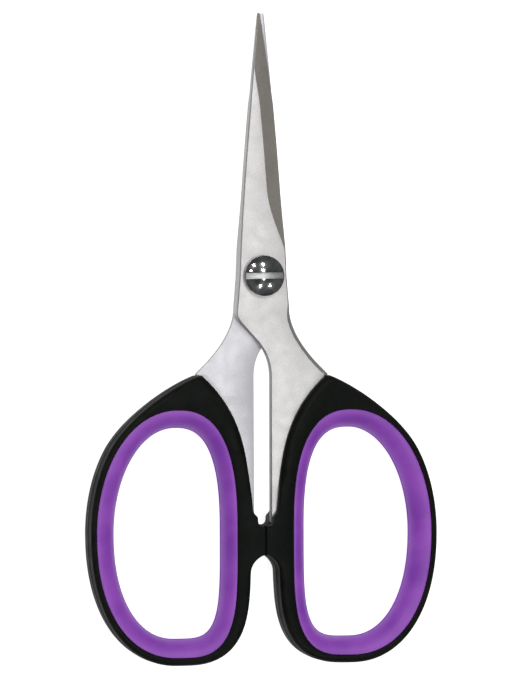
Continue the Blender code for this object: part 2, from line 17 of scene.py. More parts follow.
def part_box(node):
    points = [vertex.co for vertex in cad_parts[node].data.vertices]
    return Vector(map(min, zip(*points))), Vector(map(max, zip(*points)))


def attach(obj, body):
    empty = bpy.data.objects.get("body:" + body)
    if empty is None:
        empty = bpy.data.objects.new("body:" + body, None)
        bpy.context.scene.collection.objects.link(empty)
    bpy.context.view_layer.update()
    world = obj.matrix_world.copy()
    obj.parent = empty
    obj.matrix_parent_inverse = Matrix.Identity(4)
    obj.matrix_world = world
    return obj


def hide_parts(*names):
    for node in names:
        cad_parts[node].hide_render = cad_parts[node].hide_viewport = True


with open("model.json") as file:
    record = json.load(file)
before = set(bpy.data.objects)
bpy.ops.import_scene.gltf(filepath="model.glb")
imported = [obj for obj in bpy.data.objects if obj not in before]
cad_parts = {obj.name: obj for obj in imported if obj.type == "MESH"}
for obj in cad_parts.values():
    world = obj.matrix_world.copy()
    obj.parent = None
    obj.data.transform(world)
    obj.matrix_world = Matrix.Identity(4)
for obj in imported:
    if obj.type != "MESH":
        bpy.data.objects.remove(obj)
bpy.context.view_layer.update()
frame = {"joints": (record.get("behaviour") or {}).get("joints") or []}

bl_info = {
    "name": "Craft Scissors",
    "version": (1, 0, 0),
    "blender": (4, 5, 0),
    "location": "View3D > Sidebar > Scissors",
    "description": "Builds the fine pieces of a pair of craft scissors round their packed solids",
    "category": "Object",
}

MM = 0.001


# ---------------------------------------------------------------- sizes read from the frame

def joint(name):
    return next(item for item in frame["joints"] if item["name"] == name)


PIVOT = Vector(joint("blade_pivot")["pos_m"])


def box_about_pivot(node):
    """Lowest and highest corner of a CAD node, in millimetres from the pivot."""
    low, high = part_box(node)
    return (low - PIVOT) / MM, (high - PIVOT) / MM


BLADE_LOW, BLADE_HIGH = box_about_pivot("front_blade")
HANDLE_HIGH = box_about_pivot("right_handle")[1]
LINER_HIGH = box_about_pivot("right_grip_liner")[1]
HEAD_HIGH = box_about_pivot("pivot_screw")[1]
WASHER_HIGH = box_about_pivot("head_washer")[1]
NUT_LOW, NUT_HIGH = box_about_pivot("pivot_nut")

GAP = 2 * BLADE_LOW.z           # left between solids that touch on the real scissors
SEAM = 0.05                     # what shows of that gap between the fine pieces

# Blades
BLADE_REACH = BLADE_HIGH.y
BLADE_FACE = BLADE_HIGH.z
BLADE_BACK = SEAM
BLADE_THICKNESS = BLADE_HIGH.z - BLADE_LOW.z
PIVOT_HALF_WIDTH = 5.1
TIP_HALF_WIDTH = 0.75
BLADE_TAPER = 1.35
TIP_THICKNESS = 1.0
TIP_THINNING = 22.0
TIP_ROUND = 0.35
TIP_DRAW = 0.6
GROUND_TIP_LENGTH = 3.5
EDGE_SETBACK = 0.9
EDGE_SETBACK_LENGTH = 19.5
EDGE_THICKNESS = 0.35
EDGE_BREAK = 0.22
SLOT_SIDE_BREAK = 0.12
SLOT_SIDE_BREAK_RAMP = 2.5
GRIND_WIDTH = 3.25
GRIND_HEEL = 4.9
GRIND_RUN_OUT = 13.8
GRIND_RUN_OUT_POWER = 0.6
LEAST_FLAT = 0.05
SPINE_BREAK_SHARE = 1 / 3       # most of the blade's width that the spine's chamfer may take
CORNER_ROUND_SHARE = 0.4        # most of a side that a corner's round may take
SHANK_FLARE = 0.085
SHANK_LENGTH = 8.0
SHOULDER_CORNER = (14.1, -20.8)
SHOULDER_START_Y = -6.5
SHOULDER_PULLS = (0.1, -5.1), (-4.8, 4.4)
SHOULDER_BREAK = 0.8
SHOULDER_BREAK_START_Y = -5.0
SHOULDER_BREAK_RAMP = 5.0
SHOULDER_BREAK_DEPTH = 0.6
CROSSING_START = (-4.4, -10.5)
CROSSING_END_Y = -21.5
CROSSING_TURN_PULLS = (0.0, -0.9), (-0.6, 0.7)
CROSSING_PULLS = (2.5, -2.9), (0.0, 6.0)
ROW_SPACING = 0.3
END_STRETCH = 1.0
ROWS_AT_ENDS = 16
SLOPE_REACH = 0.2

# Slot, stops and tang
SLOT_HALF_WIDTH = 1.65
SLOT_END_Y = -53.2
STOP_LENGTH = 6.2
STOP_FILLET_PULLS = (1.44, -0.3), (0.0, 1.68)
LEG_TOP_DROP = 3.6
LEG_START = 1.0
LEG_SETBACK = 3.0
TANG_EMBED = 3.6
TANG_EMBED_AT_CORNER = 0.6
TANG_EMBED_RAMP = 6.0
SEAT_WALL = 0.9
TANG_END_WALL = 2.4
TANG_END_ROUND = 0.9
ANCHOR_HOLE_DIAMETER = 2.0
ANCHOR_HOLE_DROPS = (5.8, 10.4)
POCKET_RISE = 5.0
CUTTER_MARGIN = 1.0

# Finger opening and the bands round it
OPENING_TOP_Y = -32.2
OPENING_HALF_LENGTH = 22.5
OPENING_OUTER_HALF_WIDTH = 13.2
OPENING_INNER_HALF_WIDTH = 9.95
OPENING_POWERS = (2.0, 2.7, 4.2, 2.2)
LINER_WIDTHS = (4.2, 3.75, 3.0)         # outer side, ends, side that faces the slot
RIM_WIDTHS = (1.3, 1.75, 3.05)
LINER_HALF_THICKNESS = LINER_HIGH.z
TONGUE_DEPTH = 1.2
TONGUE_THICKNESS = 3.0

# Handle
HANDLE_HALF_THICKNESS = HANDLE_HIGH.z
SHOULDER_TURN = math.radians(28)
STOP_ROUND = 0.14
ROUND_SHARE = 0.7
LEAST_SQUARE = 0.4
LIP_END = (2.7, -49.8)
LIP_PULLS = (-0.31, -0.28), (0.03, 0.41)
LIP_TURN_PULLS = (-0.12, -0.9), (0.0, 0.6)
SLOT_END_POWER = 3.2
SHOULDER_SWEEP = 0.32
SHOULDER_SWEEP_END = (0.235, -0.09)

# Pivot
SHANK_RADIUS = 2.0
HEAD_RADIUS = HEAD_HIGH.x
HEAD_BOTTOM = WASHER_HIGH.z + GAP
HEAD_RIM_HEIGHT = 0.45
HEAD_DOME_HEIGHT = 1.05
DRIVER_SLOT_WIDTH = 1.3
DRIVER_SLOT_DEPTH = 0.95
DRIVER_SLOT_TILT = math.radians(1)
NUT_BOTTOM = NUT_LOW.z
NUT_HALF_FLATS = NUT_HIGH.y
SHANK_END_RECESS = 0.35

# Places that follow from the sizes above
STOP_FACE_X = SEAM / 2
STOP_END_Y = SLOT_END_Y - STOP_LENGTH
TANG_END_Y = STOP_END_Y + TANG_END_WALL
OPENING_CENTER = Vector((
    LEG_SETBACK + RIM_WIDTHS[2] + LINER_WIDTHS[2] + OPENING_INNER_HALF_WIDTH,
    OPENING_TOP_Y - OPENING_HALF_LENGTH,
))
BORE_RADIUS = SHANK_RADIUS + SEAM

# Fineness of the curved surfaces
CURVE_STEPS = 32
LIP_STEPS = 44
LIP_FADE_STEPS = 12
STOP_STEPS = 14
TURN_IN_STEPS = 8
RIM_STATIONS = 240
LINER_STATIONS = 200
BAND_STATIONS = 480
EDGE_STATIONS = 1920
ROUND_STEPS = 8
BULGE_STEPS = 14
TURNED_SIDES = 128
SMALL_HOLE_SIDES = 40
MERGE_REACH = 1e-6              # metres
SHARP_ANGLE = math.radians(32)


# ---------------------------------------------------------------- properties

def length(name, description, default):
    return FloatProperty(name=name, description=description, default=default, min=0.0,
                         unit="LENGTH", subtype="DISTANCE", precision=5)


def colour(name, description, default):
    return FloatVectorProperty(name=name, description=description, default=default, size=3,
                               min=0.0, max=1.0, subtype="COLOR")


def tilt(name, description, degrees):
    return FloatProperty(name=name, description=description, default=math.radians(degrees),
                         subtype="ANGLE", unit="ROTATION")


def factor(name, description, default):
    return FloatProperty(name=name, description=description, default=default, min=0.0, max=1.0,
                         subtype="FACTOR")


class BladeSettings(bpy.types.PropertyGroup):
    corner_round: length("Corner Round", "Radius along every edge of the steel", 0.00005)
    face_colour: colour("Face", "Satin steel of the flat faces", (0.73, 0.712, 0.708))
    inner_colour: colour("Inner Face", "Face that slides on the other blade", (0.74, 0.735, 0.765))
    ground_colour: colour("Ground Bevel", "Darker steel of the ground bevel", (0.56, 0.52, 0.475))
    side_colour: colour("Sides", "Blanked edges and chamfers", (0.58, 0.57, 0.56))
    roughness: factor("Roughness", "Roughness of the satin finish", 0.52)
    grain_width: length("Grain Width", "Width of one grinding line", 0.0002)


class HandleSettings(bpy.types.PropertyGroup):
    rim_round: length("Rim Round", "Radius along the outer edge", 0.0012)
    lip_round: length("Lip Round", "Radius of the lip over the tang", 0.0015)
    parting_line: length("Parting Line", "Height of the line where the mould halves met", 0.00006)
    body_colour: colour("Plastic", "Black plastic", (0.006, 0.0082, 0.0066))
    # Painted highlight: a lighter colour on the rounded rim that stands in for the light the edge catches.
    painted_highlight_colour: colour("Edge Highlight", "Painted highlight on the plastic along its rounded edge", (0.018, 0.018, 0.013))
    roughness: factor("Roughness", "Roughness of the moulded surface", 0.46)


class LinerSettings(bpy.types.PropertyGroup):
    parting_line: length("Parting Line", "Height of the line where the mould halves met", 0.00012)
    rubber_colour: colour("Rubber", "Purple rubber", (0.43, 0.105, 0.71))
    deep_colour: colour("Deep Tone", "Rubber where it is a little darker", (0.33, 0.070, 0.60))
    roughness: factor("Roughness", "Roughness of the soft surface", 0.46)


class PivotSettings(bpy.types.PropertyGroup):
    chrome_colour: colour("Screw", "Polished screw", (0.62, 0.62, 0.63))
    milled_colour: colour("Slot", "Milled steel in the screw's slot", (0.55, 0.55, 0.55))
    plated_colour: colour("Nut and Washer", "Plated steel", (0.56, 0.56, 0.57))
    polish: factor("Screw Roughness", "Roughness of the polished head", 0.09)


class StageSettings(bpy.types.PropertyGroup):
    camera_distance: length("Camera Distance", "From the lens to the scissors", 0.8)
    camera_side: tilt("Camera Side", "Lean of the view to the left", 12)
    camera_roll: tilt("Camera Roll", "Turn of the view about its axis", -0.18)
    seen_length: length("Seen Length", "Length that fills the long side of the view", 0.1459)
    lamp_height: length("Lamp Height", "Height of the lamps over the table", 0.7)
    lamp_size: length("Lamp Size", "Side of each square lamp", 0.048)
    lamp_power: FloatProperty(name="Lamp Power", description="Power of each lamp", default=0.5,
                              min=0.0, unit="POWER")
    floor_glow: factor("Floor Glow", "Light that the pale floor shows by itself", 0.85)
    floor_bounce: factor("Floor Bounce", "Light that the pale floor throws on the pieces", 0.3)


# ---------------------------------------------------------------- meshes

def link(item):
    bpy.context.scene.collection.objects.link(item)
    return item


def mesh_object(name, bm):
    """New object from a bmesh in millimetres, which is used up."""
    bmesh.ops.scale(bm, vec=(MM, MM, MM), verts=bm.verts)
    bmesh.ops.recalc_face_normals(bm, faces=bm.faces)
    mesh = bpy.data.meshes.new(name)
    bm.to_mesh(mesh)
    bm.free()
    return link(bpy.data.objects.new(name, mesh))


def lofted(name, sections, side_finish=lambda side, y: 0):
    """Closed solid skinned over matching rings of points, with a finish index for each side."""
    bm = bmesh.new()
    rings = [[bm.verts.new(point) for point in section] for section in sections]
    for row, (here, there) in enumerate(zip(rings, rings[1:])):
        for side in range(len(here)):
            after = (side + 1) % len(here)
            face = bm.faces.new((here[side], here[after], there[after], there[side]))
            face.material_index = side_finish(side, sections[row][0].y)
    bm.faces.new(rings[0])
    bm.faces.new(rings[-1])
    return mesh_object(name, bm)


def turned(name, profile, sides=TURNED_SIDES):
    """Solid turned about the pivot axis from (radius, height) pairs."""
    circles = []
    for radius, height in profile:
        turns = [2 * math.pi * side / sides for side in range(sides)]
        circles.append([Vector((radius * math.cos(a), radius * math.sin(a), height)) for a in turns])
    return lofted(name, circles)


def peg(name, radius, low, high, sides=TURNED_SIDES):
    """Round cutter on the pivot axis that runs past two faces."""
    return turned(name, [(radius, low - CUTTER_MARGIN), (radius, high + CUTTER_MARGIN)], sides)


def plain_mesh(item, name):
    """What the object's modifiers make, as a plain mesh. The object is used up."""
    mesh = bpy.data.meshes.new_from_object(item.evaluated_get(bpy.context.evaluated_depsgraph_get()))
    mesh.name = name
    bpy.data.objects.remove(item)
    return mesh


def combined(solid, others, operation="DIFFERENCE"):
    """Mesh of the solid less, or shared with, the others, which are used up with it."""
    for other in others:
        modifier = solid.modifiers.new(other.name, "BOOLEAN")
        modifier.operation = operation
        modifier.object = other
    mesh = plain_mesh(solid, solid.name)
    for other in others:
        bpy.data.objects.remove(other)
    return mesh


def finished_piece(name, mesh, body, nodes, materials, turned_over=False):
    """Puts a mesh drawn about the pivot in its place, as the piece that stands for CAD nodes."""
    mesh = mesh.copy()
    turn = Matrix.Rotation(math.pi, 4, "Y") if turned_over else Matrix.Identity(4)
    mesh.transform(Matrix.Translation(PIVOT) @ turn)
    while len(mesh.materials) < len(materials):
        mesh.materials.append(None)
    for number, material in enumerate(materials):
        mesh.materials[number] = material
    mesh.shade_smooth()
    mesh.set_sharp_from_angle(angle=SHARP_ANGLE)
    piece = link(bpy.data.objects.new(name, mesh))
    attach(piece, body)
    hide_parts(*nodes)
    return piece


def finished_pair(sides, piece, mesh, node, materials):
    """Finishes one mesh as the front half's piece and, turned over, as the rear half's."""
    for side, body in zip(sides, ("front_half", "rear_half")):
        turned_over = body == "rear_half"
        finished_piece(f"{side}_{piece}", mesh, body, [f"{side}_{node}"], materials, turned_over)


# ---------------------------------------------------------------- curves

def smooth_step(value):
    value = min(max(value, 0.0), 1.0)
    return value * value * (3 - 2 * value)


def bezier(start, start_pull, end_pull, end, steps=CURVE_STEPS):
    """Points of a curve that leaves its start and reaches its end along the two pulls."""
    start, end = Vector(start), Vector(end)
    corners = [start, start + Vector(start_pull), end + Vector(end_pull), end]
    points = interpolate_bezier(*[corner.to_3d() for corner in corners], steps + 1)
    return [point.to_2d() for point in points]


def opening_point(turn):
    """Point of the finger opening's edge, and its outward normal, at a turn from 0 to 1."""
    angle = 2 * math.pi * turn
    power = OPENING_POWERS[int(4 * turn) % 4]
    cosine, sine = math.cos(angle), math.sin(angle)
    half_width = OPENING_OUTER_HALF_WIDTH if cosine > 0 else OPENING_INNER_HALF_WIDTH
    x = math.copysign(abs(cosine) ** (2 / power), cosine)
    y = math.copysign(abs(sine) ** (2 / power), sine)
    slope_x = math.copysign(abs(x) ** (power - 1), x) / half_width
    slope_y = math.copysign(abs(y) ** (power - 1), y) / OPENING_HALF_LENGTH
    point = OPENING_CENTER + Vector((half_width * x, OPENING_HALF_LENGTH * y))
    return point, Vector((slope_x, slope_y)).normalized()


def opening_stations(count):
    """Points round the opening, evenly spaced along the liner's outer side, with their normals."""
    edge = [opening_point(step / EDGE_STATIONS) for step in range(EDGE_STATIONS)]
    outside = np.array([point + normal * LINER_WIDTHS[1] for point, normal in edge])
    steps = np.linalg.norm(np.roll(outside, -1, axis=0) - outside, axis=1)
    lengths = np.concatenate(([0.0], np.cumsum(steps)))
    turns = np.interp(np.arange(count) * lengths[-1] / count, lengths,
                      np.arange(EDGE_STATIONS + 1) / EDGE_STATIONS)
    return [opening_point(float(turn)) for turn in turns]


def band_width(widths, normal):
    """A band's width, which eases from each side's value to the next with the way it faces."""
    outer, ends, inner = widths
    side = outer if normal.x > 0 else inner
    return side * normal.x ** 2 + ends * normal.y ** 2


def rail_x(rail, y):
    """Where a rail, a line of points that runs down the blade, lies at this height."""
    return float(np.interp(-y, [-point[1] for point in rail], [point[0] for point in rail]))


# ---------------------------------------------------------------- blade

def blade_half_width(y):
    if y <= 0:
        return PIVOT_HALF_WIDTH - SHANK_FLARE * y
    share = (y / BLADE_REACH) ** BLADE_TAPER
    return PIVOT_HALF_WIDTH + (TIP_HALF_WIDTH - PIVOT_HALF_WIDTH) * share


def edge_setback(y):
    return EDGE_SETBACK * max(0.0, 1 - (BLADE_REACH - y) / EDGE_SETBACK_LENGTH)


def lip_curve():
    """Edge of the handle over the tang, from the shoulder's corner down to the slot's end."""
    start = Vector(SHOULDER_CORNER) + Vector((-TANG_EMBED_AT_CORNER, -GAP))
    drop = start.y - LIP_END[1]
    start_pull, end_pull = [Vector(pull) * drop for pull in LIP_PULLS]
    return bezier(start, start_pull, end_pull, LIP_END, LIP_STEPS)


def seat_inner_side():
    """The liner seat's side that faces the slot, from its top to its bottom."""
    side = []
    for point, normal in opening_stations(LINER_STATIONS):
        if normal.x < 0:
            side.append(point + normal * (band_width(LINER_WIDTHS, normal) + GAP / 2))
    return side


def tang_rail():
    """Hidden outer edge of the tang, which follows the lip and keeps clear of the liner's seat."""
    lip = lip_curve()
    seat = seat_inner_side()
    rail = []
    for step in range(1, 2 * CURVE_STEPS + 1):
        y = SHOULDER_CORNER[1] + (TANG_END_Y - SHOULDER_CORNER[1]) * step / (2 * CURVE_STEPS)
        ramp = min(1.0, (SHOULDER_CORNER[1] - y) / TANG_EMBED_RAMP)
        embed = TANG_EMBED_AT_CORNER + (TANG_EMBED - TANG_EMBED_AT_CORNER) * ramp
        x = rail_x(lip, y) + embed
        if y < seat[0].y:
            x = min(x, rail_x(seat, y) - SEAT_WALL - GAP)
        rail.append(Vector((x, y)))
    return rail


def blade_heights():
    return [BLADE_REACH * (1 - step / (2 * CURVE_STEPS)) for step in range(2 * CURVE_STEPS + 1)]


def cutting_rail():
    """Outer edge: cutting edge, shank, shoulder and tang, from the tip down."""
    rail = [Vector((blade_half_width(y) - edge_setback(y), y)) for y in blade_heights()]
    start = (blade_half_width(SHOULDER_START_Y), SHOULDER_START_Y)
    rail += bezier(start, *SHOULDER_PULLS, SHOULDER_CORNER)
    return rail + tang_rail()


def spine_rail():
    """Inner edge: spine, shank, the slanting edge over the other blade and the slot's side."""
    rail = [Vector((-blade_half_width(y), y)) for y in blade_heights()]
    corner = (-blade_half_width(-SHANK_LENGTH), -SHANK_LENGTH)
    rail += bezier(corner, *CROSSING_TURN_PULLS, CROSSING_START)
    rail += bezier(CROSSING_START, *CROSSING_PULLS, (SLOT_HALF_WIDTH, CROSSING_END_Y))[1:]
    rail.append(Vector((SLOT_HALF_WIDTH, TANG_END_Y)))
    return rail


def grind_width(y):
    """Width of the ground bevel, which runs out in a curve above the pivot."""
    run_out = smooth_step((y - GRIND_HEEL) / GRIND_RUN_OUT)
    return GRIND_WIDTH * run_out ** GRIND_RUN_OUT_POWER


def blade_face(y):
    """Height of the blade's face, which comes down towards the tip."""
    thinning = smooth_step((y - BLADE_REACH + TIP_THINNING) / TIP_THINNING)
    return BLADE_FACE - (BLADE_THICKNESS - TIP_THICKNESS) * thinning


def end_taper(y):
    """How far both edges draw in at the rounded tip and at the tang's rounded end."""
    tip = max(0.0, y - (BLADE_REACH - TIP_ROUND)) / TIP_ROUND
    tang = max(0.0, TANG_END_Y + TANG_END_ROUND - y) / TANG_END_ROUND
    tip_draw = TIP_DRAW * TIP_ROUND * (1 - math.sqrt(1 - min(tip, 1.0) ** 2))
    tang_draw = TANG_END_ROUND * (1 - math.sqrt(1 - min(tang, 1.0) ** 2))
    return tip_draw + tang_draw


def blade_rows():
    """Heights at which the blade's section is drawn: even, and close together at both ends."""
    ends = [BLADE_REACH - END_STRETCH, TANG_END_Y + END_STRETCH]
    middle = int((ends[0] - ends[1]) / ROW_SPACING)
    turns = [math.sin(math.pi / 2 * n / ROWS_AT_ENDS) for n in range(ROWS_AT_ENDS + 1)]
    rows = [BLADE_REACH - END_STRETCH * turn ** 2 for turn in turns[:-1]]
    rows += [ends[0] + (ends[1] - ends[0]) * n / middle for n in range(middle)]
    return rows + [ends[1] - END_STRETCH * turn for turn in turns]


def slant(rail, y):
    """How much wider a band looks across the blade where its rail slants."""
    rise = rail_x(rail, y + SLOPE_REACH) - rail_x(rail, y - SLOPE_REACH)
    return math.hypot(1.0, rise / (2 * SLOPE_REACH))


def shoulder_break(y):
    """Chamfer along the outer edge, which grows soft round the shoulder."""
    rise = smooth_step((SHOULDER_BREAK_START_Y - y) / SHOULDER_BREAK_RAMP)
    return EDGE_BREAK + (SHOULDER_BREAK - EDGE_BREAK) * rise


def spine_break_at(y):
    """Chamfer along the spine, which is finer on the edge over the other blade and in the slot."""
    fall = smooth_step((CROSSING_START[1] - y) / SLOT_SIDE_BREAK_RAMP)
    return EDGE_BREAK + (SLOT_SIDE_BREAK - EDGE_BREAK) * fall


def softened(corners, radius):
    """The same ring with each corner turned into a small round of three points."""
    ring = []
    for number, corner in enumerate(corners):
        ends = []
        for neighbour in (corners[number - 1], corners[(number + 1) % len(corners)]):
            side = neighbour - corner
            ends.append(corner + side * min(radius / max(side.length, radius), CORNER_ROUND_SHARE))
        ring += [ends[0], (ends[0] + ends[1] + 2 * corner) / 4, ends[1]]
    return ring


def blade_section(spine, edge, y, radius):
    """Cross-section of the blade, from the back of the spine round its face."""
    left = rail_x(spine, y) + end_taper(y)
    right = rail_x(edge, y) - end_taper(y)
    face = blade_face(y)
    inner_break = spine_break_at(y)
    spine_break = min(inner_break * slant(spine, y), (right - left) * SPINE_BREAK_SHARE)
    outer_break = shoulder_break(y)
    grind = max(grind_width(y), outer_break)
    ground = grind_width(y) * (BLADE_THICKNESS - EDGE_THICKNESS) / GRIND_WIDTH
    deepest = face - BLADE_LOW.z - EDGE_THICKNESS
    fall = min(max(ground, outer_break * SHOULDER_BREAK_DEPTH), deepest)
    bevel = min(grind * slant(edge, y), right - left - spine_break - LEAST_FLAT)
    return softened([
        Vector((left, y, BLADE_BACK)),
        Vector((left, y, face - inner_break)),
        Vector((left + spine_break, y, face)),
        Vector((right - bevel, y, face)),
        Vector((right, y, face - fall)),
        Vector((right, y, BLADE_BACK)),
    ], radius)


SATIN, GROUND, SIDE, INNER = range(4)
STRIPS_AT_CORNER = 3            # the two of its round and the flat one after it
STRIP_FINISHES = (SIDE, SIDE, SATIN, GROUND, SIDE, INNER)
BEVEL_STRIP, INNER_STRIP = 3, 5


def blade_finish(side, y):
    """Finish of one strip of the blade, counted from the back of the spine round its face."""
    strip = side // STRIPS_AT_CORNER
    if y > BLADE_REACH - GROUND_TIP_LENGTH and strip != INNER_STRIP:
        return GROUND
    if strip == BEVEL_STRIP and y <= GRIND_HEEL:
        return SIDE
    return STRIP_FINISHES[strip]


def anchor_pegs(radius):
    """Upright pegs midway between the lip and the tang's edge, longer than the tang is thick."""
    pegs = []
    for drop in ANCHOR_HOLE_DROPS:
        y = SHOULDER_CORNER[1] - drop
        x = rail_x(lip_curve(), y) + TANG_EMBED / 2
        anchor = peg("anchor_peg", radius, BLADE_BACK, BLADE_FACE, SMALL_HOLE_SIDES)
        anchor.data.transform(Matrix.Translation((x * MM, y * MM, 0)))
        pegs.append(anchor)
    return pegs


def blade_mesh(corner_round):
    spine, edge = spine_rail(), cutting_rail()
    sections = [blade_section(spine, edge, y, corner_round) for y in blade_rows()]
    blank = lofted("blade", sections, blade_finish)
    bore = peg("pivot_bore", BORE_RADIUS, BLADE_BACK, BLADE_FACE)
    return combined(blank, [bore] + anchor_pegs(ANCHOR_HOLE_DIAMETER / 2))


# ---------------------------------------------------------------- moulded bands

def opening_band(width_at):
    """Closed line round the opening at a distance that may change with the direction it faces."""
    return [point + normal * width_at(normal) for point, normal in opening_stations(BAND_STATIONS)]


def on_ray(band, point):
    """Where the ray from the opening's centre to a point crosses a band."""
    ray = point - OPENING_CENTER
    spokes = [spoke - OPENING_CENTER for spoke in band]
    angles = [math.atan2(spoke.y, spoke.x) for spoke in spokes]
    lengths = [spoke.length for spoke in spokes]
    radius = np.interp(math.atan2(ray.y, ray.x), angles, lengths, period=2 * math.pi)
    return OPENING_CENTER + ray.normalized() * float(radius)


def stop_stretch(leg_top, rim_round):
    """The stop's meeting face and the fillet below it, down to the top of the leg."""
    face = [Vector((STOP_FACE_X, SLOT_END_Y - STOP_LENGTH * n / STOP_STEPS)) for n in range(STOP_STEPS)]
    fillet = bezier((STOP_FACE_X, STOP_END_Y), *STOP_FILLET_PULLS, leg_top, STOP_STEPS)
    shares = [step / STOP_STEPS for step in range(STOP_STEPS + 1)]
    rounds = [STOP_ROUND + (rim_round - STOP_ROUND) * share for share in shares]
    return [(point, STOP_ROUND) for point in face] + list(zip(fillet, rounds))


def rim_stretch(leg_top):
    """The handle's rim from the leg, round the bottom and up the outer side."""
    stations = opening_stations(RIM_STATIONS)
    stretch = []
    for point, normal in stations[RIM_STATIONS // 2:] + stations[:RIM_STATIONS // 2]:
        width = band_width(LINER_WIDTHS, normal) + band_width(RIM_WIDTHS, normal)
        rim = point + normal * width
        below_leg = normal.x < 0 and rim.y < leg_top.y - LEG_START
        below_shoulder = normal.x >= 0 and normal.y < math.sin(SHOULDER_TURN)
        if below_leg or below_shoulder:
            stretch.append((rim, normal))
    return stretch


def shoulder_stretch(rim_end, normal):
    """The sweep from the rim up to the corner where the blade's shoulder comes out."""
    corner = Vector(SHOULDER_CORNER) + Vector((GAP / 2, -GAP))
    reach = (rim_end - corner).length
    along_rim = Vector((-normal.y, normal.x)) * reach * SHOULDER_SWEEP
    return bezier(rim_end, along_rim, Vector(SHOULDER_SWEEP_END) * reach, corner, LIP_STEPS)[1:]


def slot_stretch(lip_end):
    """The lip's turn into the slot and the slot's round end."""
    side = (SLOT_HALF_WIDTH, SLOT_END_Y + SLOT_HALF_WIDTH)
    turn_in = bezier(lip_end, *LIP_TURN_PULLS, side, TURN_IN_STEPS)[1:]
    for step in range(1, TURN_IN_STEPS):
        angle = math.pi / 2 * step / TURN_IN_STEPS
        across = math.cos(angle) ** (2 / SLOT_END_POWER)
        down = math.sin(angle) ** (2 / SLOT_END_POWER)
        turn_in.append(Vector((SLOT_HALF_WIDTH * across, SLOT_END_Y + SLOT_HALF_WIDTH * (1 - down))))
    return turn_in


def handle_outline(rim_round, lip_round):
    """Points of the handle's edge, anticlockwise from the top of the stop, each with its rounding."""
    leg_top = Vector((LEG_SETBACK, STOP_END_Y - LEG_TOP_DROP))
    rim = rim_stretch(leg_top)
    shoulder = shoulder_stretch(*rim[-1])
    lip = lip_curve()
    outline = stop_stretch(leg_top, rim_round)
    outline += [(point, rim_round) for point, normal in rim]
    outline += [(point, rim_round) for point in shoulder[:-1]]
    outline.append((shoulder[-1], lip_round))
    for number, point in enumerate(lip):
        fade = smooth_step((len(lip) - 1 - number) / LIP_FADE_STEPS)
        outline.append((point, STOP_ROUND + (lip_round - STOP_ROUND) * fade))
    outline += [(point, STOP_ROUND) for point in slot_stretch(lip[-1])]
    return outline


def store(mesh, name, kind, field, values):
    """Named values on the mesh's points, which the band tree reads."""
    attribute = mesh.attributes.new(name, kind, "POINT")
    attribute.data.foreach_set(field, np.array(values, dtype=np.float32).ravel())


def station_loop(name, stations):
    """Closed line of stations for the band tree: a place, the way across, its stretch, a radius."""
    bm = bmesh.new()
    verts = [bm.verts.new(station[0].to_3d() * MM) for station in stations]
    for here, there in zip(verts, verts[1:] + verts[:1]):
        bm.edges.new((here, there))
    mesh = bpy.data.meshes.new(name)
    bm.to_mesh(mesh)
    bm.free()
    _, across, stretches, radii = zip(*stations)
    store(mesh, "across", "FLOAT_VECTOR", "vector", [way.to_3d() * MM for way in across])
    store(mesh, "stretch", "FLOAT", "value", stretches)
    store(mesh, "radius", "FLOAT", "value", radii)
    return link(bpy.data.objects.new(name, mesh))


def profile_points(name, points):
    """Section for the band tree: each point's (share across, inset, height) and what one
    millimetre of the station's radius adds to its inset and height."""
    mesh = bpy.data.meshes.new(name)
    mesh.from_pydata([(share, inset * MM, height * MM) for (share, inset, height), _ in points], [], [])
    added = [Vector((0.0, *by_radius)) * MM for _, by_radius in points]
    store(mesh, "by_radius", "FLOAT_VECTOR", "vector", added)
    return link(bpy.data.objects.new(name, mesh))


class Tree:
    """Small builder for node trees: adds a node, sets or links its inputs and returns an output."""

    def __init__(self, tree):
        self.tree = tree

    def node(self, kind, *inputs, output=0, at=None, **settings):
        """One output of a new node. Inputs are given in order, or in a dict by name or number."""
        node = self.tree.nodes.new(kind)
        for name, value in settings.items():
            setattr(node, name, value)
        for place, value in (at or dict(enumerate(inputs))).items():
            self.feed(node.inputs[place], value)
        return node.outputs[output]

    def feed(self, socket, value):
        if isinstance(value, bpy.types.NodeSocket):
            self.tree.links.new(value, socket)
        elif value is not None:
            socket.default_value = value

    def math(self, operation, *values):
        return self.node("ShaderNodeMath", *values, operation=operation)

    def vector(self, operation, *values):
        return self.node("ShaderNodeVectorMath", *values, operation=operation)

    def scaled(self, vector, by):
        """A vector or colour times a number."""
        return self.node("ShaderNodeVectorMath", at={0: vector, "Scale": by}, operation="SCALE")

    def parts(self, vector):
        """The three parts of a vector or colour."""
        node = self.tree.nodes.new("ShaderNodeSeparateXYZ")
        self.feed(node.inputs[0], vector)
        return node.outputs


def interface(tree, inputs, outputs):
    """Named sockets of a node group, given as name, socket type and default."""
    for name, kind, default in inputs:
        socket = tree.interface.new_socket(name=name, in_out="INPUT", socket_type=kind)
        if default is not None:
            socket.default_value = default
    for name, kind in outputs:
        tree.interface.new_socket(name=name, in_out="OUTPUT", socket_type=kind)


